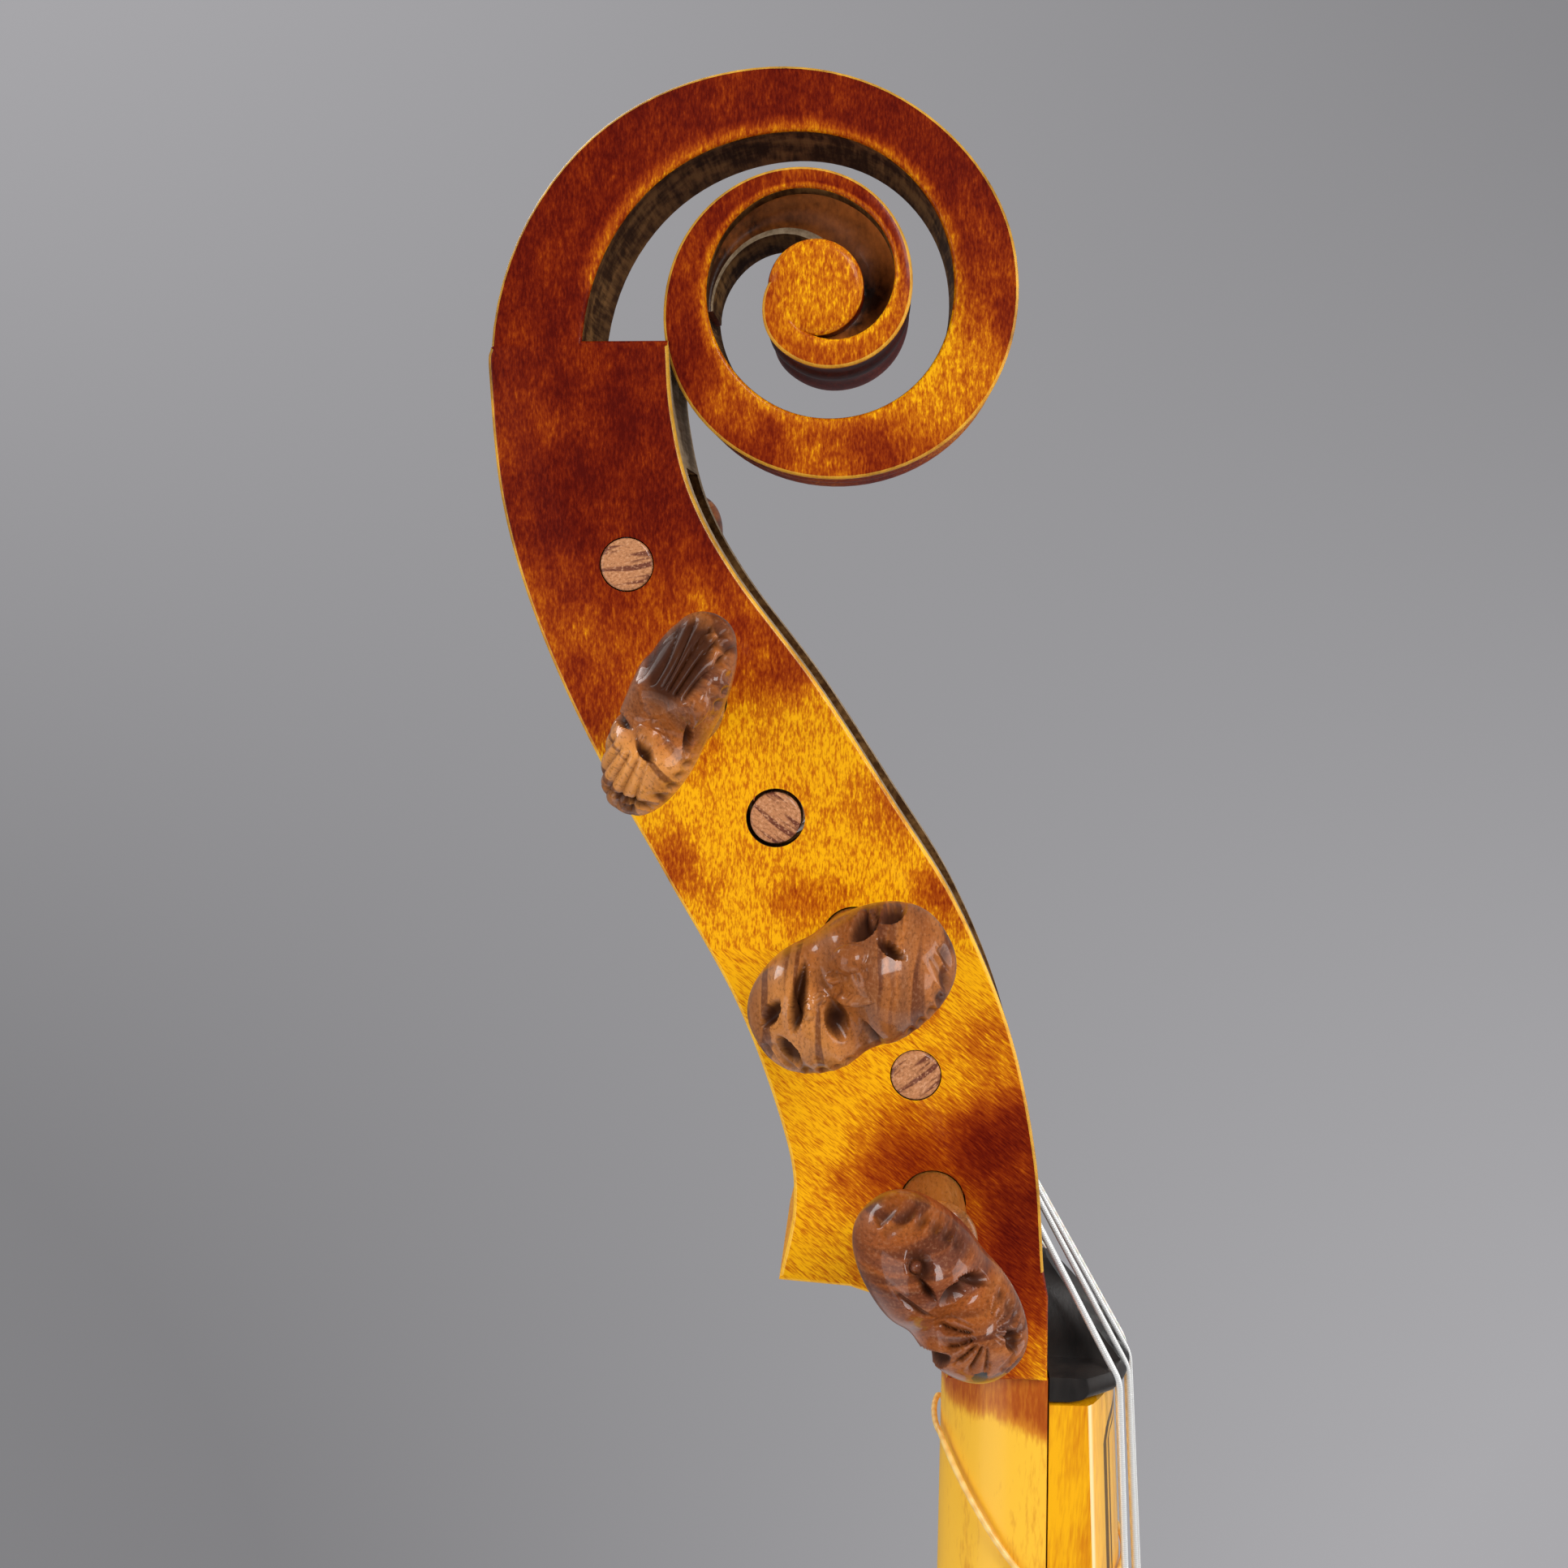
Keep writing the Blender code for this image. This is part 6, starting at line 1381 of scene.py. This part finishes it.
# Body
def body_runs():
    """Three runs of the outline on the treble side, from their upper ends."""
    many = OUTLINE_STEPS
    upper = np.vstack([
        bezier((TOP_HALF, BODY_TOP), (TOP_HALF + 30.0 * MM, BODY_TOP - 22.0 * MM),
               (UPPER_HALF, UPPER_WIDE_Z + 92.0 * MM), (UPPER_HALF, UPPER_WIDE_Z), 10 * many + 1),
        bezier((UPPER_HALF, UPPER_WIDE_Z), (UPPER_HALF, UPPER_WIDE_Z - 26.0 * MM),
               (UPPER_CORNER_HALF - 5.0 * MM, UPPER_CORNER_Z + 30.0 * MM),
               (UPPER_CORNER_HALF, UPPER_CORNER_Z), 5 * many + 1)[1:]])
    waist = np.vstack([
        bezier((UPPER_CORNER_HALF, UPPER_CORNER_Z), (UPPER_CORNER_HALF - 22.0 * MM, UPPER_CORNER_Z - 6.0 * MM),
               (WAIST_HALF, WAIST_Z + 38.0 * MM), (WAIST_HALF, WAIST_Z), 6 * many + 1),
        bezier((WAIST_HALF, WAIST_Z), (WAIST_HALF, WAIST_Z - 44.0 * MM),
               (LOWER_CORNER_HALF - 30.0 * MM, LOWER_CORNER_Z + 5.0 * MM),
               (LOWER_CORNER_HALF, LOWER_CORNER_Z), 7 * many + 1)[1:]])
    lower = np.vstack([
        bezier((LOWER_CORNER_HALF, LOWER_CORNER_Z), (LOWER_CORNER_HALF - 6.0 * MM, LOWER_CORNER_Z - 34.0 * MM),
               (LOWER_HALF, LOWER_WIDE_Z + 58.0 * MM), (LOWER_HALF, LOWER_WIDE_Z), 6 * many + 1),
        bezier((LOWER_HALF, LOWER_WIDE_Z), (LOWER_HALF, LOWER_WIDE_Z - 88.0 * MM),
               (104.0 * MM, BODY_BOTTOM), (0.0, BODY_BOTTOM), 12 * many + 1)[1:]])
    return upper, waist, lower


def offset_run(run, distance):
    """The run moved sideways, out of the body for a positive distance."""
    along = np.gradient(run, axis=0)
    along /= np.linalg.norm(along, axis=1)[:, None]
    return run + np.stack([-along[:, 1], along[:, 0]], axis=1) * distance


def meet_plane(points, height, at_end):
    """The run's end moved along itself to the given height."""
    moved = np.array(points)
    end, before = (-1, -2) if at_end else (0, 1)
    slope = moved[end] - moved[before]
    if abs(slope[1]) > 0.02 * MM:
        moved[end] = moved[end] + slope * (height - moved[end][1]) / slope[1]
    moved[end][1] = height
    return moved


def body_rows(distance):
    """Half widths and heights of the body's outline, from the bottom up."""
    upper, waist, lower = (offset_run(run, distance) for run in body_runs())
    upper = meet_plane(meet_plane(upper, UPPER_CORNER_Z, True), BODY_TOP, False)
    lower = meet_plane(lower, LOWER_CORNER_Z, False)
    lower[-1] = (0.0, BODY_BOTTOM - distance)
    rows = np.vstack([upper, waist[1:-1], lower])[::-1]
    rows[:, 1] = np.maximum.accumulate(rows[:, 1] + np.arange(len(rows)) * 1e-7)
    return rows


def back_y(z):
    """The inner face of the back: flat, then leaning forward above the fold."""
    share = np.maximum((z - FOLD_Z) / (BODY_TOP - FOLD_Z), 0.0)
    return mix(RIB_DEPTH / 2.0, FRONT_Y + RIB_DEPTH_AT_NECK, share)


def arch(x, z, rows):
    """Rise of the belly: a power of a sine along it, and a bell across it."""
    half = np.interp(z, rows[:, 1], rows[:, 0])
    lengthwise = np.clip((z - BODY_BOTTOM) / BODY_LENGTH, 0.0, 1.0)
    rise = np.maximum(np.sin(math.pi * lengthwise), 0.0) ** 0.55
    return BELLY_ARCH * rise * np.maximum(1.0 - (x / np.maximum(half, MM)) ** 2, 0.0) ** 1.5


def outline_distance(x, z, rows):
    """Distance of points from the outline."""
    line = np.vstack([rows, rows[::-1] * (-1.0, 1.0)])
    best = np.full(x.size, 1.0)
    flat_x, flat_z = x.ravel(), z.ravel()
    for start, end in zip(line, np.roll(line, -1, 0)):
        along = end - start
        share = ((flat_x - start[0]) * along[0] + (flat_z - start[1]) * along[1]) / max(along @ along, 1e-12)
        share = np.clip(share, 0.0, 1.0)
        best = np.minimum(best, np.hypot(flat_x - start[0] - share * along[0],
                                         flat_z - start[1] - share * along[1]))
    return best.reshape(x.shape)


def plate(name, outer_y, inner_y, columns, domed):
    """A plate over the body's outline with rounded rims: columns crowd towards its edges."""
    rows = body_rows(OVERHANG)
    half = np.maximum(rows[:, 0], NARROW_END)[:, None]
    z = rows[:, 1][:, None] * np.ones((1, columns + 1))
    x = half * np.sin(math.pi / 2.0 * np.linspace(-1.0, 1.0, columns + 1))[None, :]
    rise = arch(x, z, rows) if domed else 0.0
    outer = np.stack([x, outer_y(z) - rise, z], axis=-1)
    inner = np.stack([x, inner_y(z) - rise, z], axis=-1)
    inset = outline_distance(x, z, rows)
    rings = np.concatenate([outer, inner[:, ::-1]], axis=1)
    values = np.hstack([inset, np.full_like(inset, -1.0)])
    return skin(name, rings, values={"inset": values})


def sound_hole(side):
    """A C whose middle lies nearest the bridge, with a round eye at each end."""
    middle = BRIDGE_Z + 14.0 * MM
    near, far = BELLY_CROWN_Y - 5.0 * MM, FRONT_Y + 5.0 * MM
    share = np.linspace(-1.0, 1.0, 49)
    z = middle + share * 46.0 * MM
    x = 62.0 * MM + 13.0 * MM * share ** 2
    half = 3.0 * MM * (1.0 - 0.45 * share ** 2)
    ring = np.vstack([np.stack([side * (x - half), z], 1), np.stack([side * (x + half), z], 1)[::-1]])
    made = [across_body(f"sound_hole_{side}", ring, near, far)]
    turn = np.linspace(0.0, 2.0 * math.pi, 49)[:-1]
    for end in (-1, 1):
        eye = np.stack([side * 77.3 * MM + 6.5 * MM * np.cos(turn), middle + end * 46.0 * MM + 6.5 * MM * np.sin(turn)], 1)
        made.append(across_body(f"sound_hole_eye_{side}_{end}", eye, near - MM, far + MM))
    return made


def across_body(name, ring, near, far):
    return skin(name, [np.stack([ring[:, 0], np.full(len(ring), y), ring[:, 1]], 1) for y in (near, far)],
                smooth=False)


class ViolBelly(Operator):
    """Arch the spruce belly, inlay its edge and cut the C-shaped sound holes"""
    bl_idname = "viol.belly"
    bl_label = "Belly"

    def execute(self, context):
        made = plate("belly_arched", lambda z: FRONT_Y - BELLY_EDGE + 0.0 * z, lambda z: FRONT_Y - GAP + 0.0 * z,
                     72, True)
        wood = plain_varnish("varnished_spruce", (0.93, 0.50, 0.05), (0.24, 0.035, 0.004), straight=True, purfled=True)
        made.data.materials.append(wood)
        tools = [("DIFFERENCE", tool) for _, side in SIDES for tool in sound_hole(side)]
        carve(made, *tools)
        finish_piece(made, "root", [wood], ["belly"], 35.0)
        return {"FINISHED"}


class ViolBackAndRibs(Operator):
    """Lay the folded flat back and bend the six ribs"""
    bl_idname = "viol.back_and_ribs"
    bl_label = "Back and ribs"

    def execute(self, context):
        sizes = context.scene.viol
        gold, red = tuple(sizes.gold), tuple(sizes.red)
        wood = plain_varnish("body_varnish", gold, red)
        lined = plain_varnish("back_varnish", gold, red, purfled=True)
        made = plate("back_flat", lambda z: back_y(z) + GAP + BACK_THICKNESS, lambda z: back_y(z) + GAP, 40, False)
        finish_piece(made, "root", [lined], ["back"], 25.0)
        runs = dict(zip(("upper", "waist", "lower"), body_runs()))
        seam = GAP / 2.0
        ends = {"upper": (BODY_TOP, UPPER_CORNER_Z + seam), "waist": (UPPER_CORNER_Z - seam, LOWER_CORNER_Z + seam),
                "lower": (LOWER_CORNER_Z - seam, None)}
        for part, run in runs.items():
            if part == "lower":
                run = np.vstack([run[:-1], [(seam, BODY_BOTTOM)]])
            for label, side in SIDES:
                edges = []
                for distance in (0.0, -RIB_THICKNESS):
                    line = meet_plane(offset_run(run, distance), ends[part][0], False)
                    if ends[part][1] is not None:
                        line = meet_plane(line, ends[part][1], True)
                    edges.append(line)
                outer, inner = edges
                rings = np.stack([
                    np.stack([side * outer[:, 0], np.full(len(run), FRONT_Y), outer[:, 1]], 1),
                    np.stack([side * outer[:, 0], back_y(outer[:, 1]), outer[:, 1]], 1),
                    np.stack([side * inner[:, 0], back_y(inner[:, 1]), inner[:, 1]], 1),
                    np.stack([side * inner[:, 0], np.full(len(run), FRONT_Y), inner[:, 1]], 1)], axis=1)
                strip = skin(f"{part}_rib_{label}_bent", rings)
                finish_piece(strip, "root", [wood], [f"{part}_rib_{label}"], 30.0)
        return {"FINISHED"}


class ViolFittings(Operator):
    """Finish bridge, tailpiece, hook bar and the pieces inside the body"""
    bl_idname = "viol.fittings"
    bl_label = "Fittings and inside"

    def execute(self, context):
        sizes = context.scene.viol
        finishes = {"bridge_maple": bare_wood("bridge_maple", (0.72, 0.47, 0.22), (0.50, 0.27, 0.09), 0.42),
                    "bare_spruce": bare_wood("bare_spruce", (0.78, 0.60, 0.36), (0.58, 0.38, 0.18), 0.62),
                    "ebony": ebony_finish(),
                    "varnished_maple": plain_varnish("fittings_varnish", tuple(sizes.gold), tuple(sizes.red))}
        for entry in frame["record"]["subparts"]:
            node = bpy.data.objects.get(entry["node"])
            if node is None or node.type != "MESH" or entry["material_slot"] not in finishes:
                continue
            if not node.data.materials:
                node.data.materials.append(None)
            for slot in node.material_slots:
                slot.material = finishes[entry["material_slot"]]
        return {"FINISHED"}


class ViolStage(Operator):
    """Set the pale floor, the soft lamps and the camera"""
    bl_idname = "viol.stage"
    bl_label = "Stage"

    def execute(self, context):
        sizes = context.scene.viol
        turn = 2.0 * math.pi * np.arange(96) / 96
        rim = np.stack([1.6 * np.cos(turn), 1.6 * np.sin(turn), np.zeros(96)], axis=1)
        floor = skin("floor", [rim - (0.0, 0.0, 0.001), rim - (0.0, 0.0, 0.004)], smooth=False)
        ground = Finish("floor", roughness=0.7)
        x, y, z = ground.place()
        tone = ground.noise(x * 2.0, y * 2.0, z, 2.0)
        ground.set("Base Color", ground.blend(tone, (0.58, 0.58, 0.59), (0.64, 0.64, 0.65)))
        ground.set("Alpha", ((x * x + y * y) ** 0.5).smooth(1.55, 1.05))
        floor.data.materials.append(ground.material)
        for name, place, power, size in (("key", (-1.5, -1.1, 2.3), 31.5, 1.0), ("fill", (-1.2, 1.5, 1.2), 11.0, 1.4),
                                         ("rim", (1.0, 1.0, 2.2), 16.0, 1.0), ("front", (0.3, -2.2, 1.4), 16.0, 1.4),
                                         ("low", (-0.9, 1.2, 0.35), 3.0, 1.0)):
            lamp = bpy.data.lights.new(name, "AREA")
            lamp.energy = power
            lamp.size = size
            made = bpy.data.objects.new(name, lamp)
            context.scene.collection.objects.link(made)
            made.location = place
            aim = np.array((0.0, 0.0, 1.05)) - np.array(place)
            made.rotation_euler = direction(aim).to_euler()
        world = bpy.data.worlds.new("studio")
        world.use_nodes = True
        context.scene.world = world
        light_world(world, tuple(sizes.backdrop))
        place_camera(context)
        context.scene.view_settings.view_transform = "Standard"
        return {"FINISHED"}


def direction(aim):
    return Vector(aim).to_track_quat("-Z", "Y")


def light_world(world, backdrop):
    """A soft even light, seen as a backdrop that is paler in two opposite corners. Shiny faces that
    look back along the room see it dark, as a studio is."""
    tree = world.node_tree
    tree.nodes.clear()
    seen = tree.nodes.new("ShaderNodeBackground")
    place = tree.nodes.new("ShaderNodeTexCoord")
    parts = tree.nodes.new("ShaderNodeSeparateXYZ")
    tree.links.new(place.outputs["Generated"], parts.inputs[0])
    saddle = tree.nodes.new("ShaderNodeMath")
    saddle.operation = "MULTIPLY"
    tree.links.new(parts.outputs["Y"], saddle.inputs[0])
    tree.links.new(parts.outputs["Z"], saddle.inputs[1])
    share = tree.nodes.new("ShaderNodeMapRange")
    share.inputs["From Min"].default_value = -BACKDROP_SPREAD
    share.inputs["From Max"].default_value = BACKDROP_SPREAD
    tree.links.new(saddle.outputs[0], share.inputs["Value"])
    tint = tree.nodes.new("ShaderNodeMix")
    tint.data_type = "RGBA"
    tree.links.new(share.outputs[0], tint.inputs[0])
    tint.inputs[6].default_value = (*(part * 0.62 for part in backdrop), 1.0)
    tint.inputs[7].default_value = (*(part * 1.12 for part in backdrop), 1.0)
    tree.links.new(tint.outputs[2], seen.inputs["Color"])
    soft = tree.nodes.new("ShaderNodeBackground")
    soft.inputs["Color"].default_value = (0.86, 0.87, 0.90, 1.0)
    soft.inputs["Strength"].default_value = 0.55
    path = tree.nodes.new("ShaderNodeLightPath")
    either = tree.nodes.new("ShaderNodeMath")
    either.operation = "MAXIMUM"
    tree.links.new(path.outputs["Is Camera Ray"], either.inputs[0])
    tree.links.new(path.outputs["Is Transmission Ray"], either.inputs[1])
    also = tree.nodes.new("ShaderNodeMath")
    also.operation = "MAXIMUM"
    tree.links.new(either.outputs[0], also.inputs[0])
    tree.links.new(path.outputs["Is Glossy Ray"], also.inputs[1])
    dim = tree.nodes.new("ShaderNodeMapRange")
    dim.interpolation_type = "SMOOTHSTEP"
    for key, value in zip(("From Min", "From Max", "To Min", "To Max"), REFLECTED_RANGE):
        dim.inputs[key].default_value = value
    tree.links.new(parts.outputs["X"], dim.inputs["Value"])
    full = tree.nodes.new("ShaderNodeMath")
    full.operation = "MAXIMUM"
    tree.links.new(dim.outputs[0], full.inputs[0])
    tree.links.new(either.outputs[0], full.inputs[1])
    tree.links.new(full.outputs[0], seen.inputs["Strength"])
    choose = tree.nodes.new("ShaderNodeMixShader")
    tree.links.new(also.outputs[0], choose.inputs[0])
    tree.links.new(soft.outputs[0], choose.inputs[1])
    tree.links.new(seen.outputs[0], choose.inputs[2])
    out = tree.nodes.new("ShaderNodeOutputWorld")
    tree.links.new(choose.outputs[0], out.inputs["Surface"])


def place_camera(context):
    """Beside the head on the bass side, level with the pegbox, its top along the neck."""
    eye = Vector((-0.385, -0.00761, 1.16251))
    ahead = Vector((1.0, 0.0415, -0.10486)).normalized()
    up = Vector((0.0, math.sin(NECK_TILT), math.cos(NECK_TILT)))
    right = ahead.cross(up).normalized()
    up = right.cross(ahead)
    data = bpy.data.cameras.new("camera")
    data.sensor_width = 36.0
    data.lens = 43.6
    data.clip_start = 0.01
    made = bpy.data.objects.new("camera", data)
    context.scene.collection.objects.link(made)
    made.matrix_world = Matrix.Translation(eye) @ Matrix((right, up, -ahead)).transposed().to_4x4()
    context.scene.camera = made


OPERATORS = [ViolHead, ViolPegs, ViolNeck, ViolFingerboard, ViolNut, ViolStrings, ViolFrets, ViolBelly,
             ViolBackAndRibs, ViolFittings, ViolStage]


class VIOL_PT_build(Panel):
    """Lists the steps that make the viol"""
    bl_label = "Bass Viol"
    bl_idname = "VIOL_PT_build"
    bl_space_type = "VIEW_3D"
    bl_region_type = "UI"
    bl_category = "Viol"

    def draw(self, context):
        for operator in OPERATORS:
            self.layout.operator(operator.bl_idname)
        for name in ViolSizes.__annotations__:
            self.layout.prop(context.scene.viol, name)


CLASSES = [ViolSizes, *OPERATORS, VIOL_PT_build]


def register():
    for entry in CLASSES:
        bpy.utils.register_class(entry)
    bpy.types.Scene.viol = PointerProperty(type=ViolSizes)


def unregister():
    del bpy.types.Scene.viol
    for entry in reversed(CLASSES):
        bpy.utils.unregister_class(entry)


def main():
    register()
    bpy.ops.viol.head()
    bpy.ops.viol.pegs()
    bpy.ops.viol.neck()
    bpy.ops.viol.fingerboard()
    bpy.ops.viol.nut()
    bpy.ops.viol.strings()
    bpy.ops.viol.frets()
    bpy.ops.viol.belly()
    bpy.ops.viol.back_and_ribs()
    bpy.ops.viol.fittings()
    bpy.ops.viol.stage()


if __name__ == "__main__":
    main()
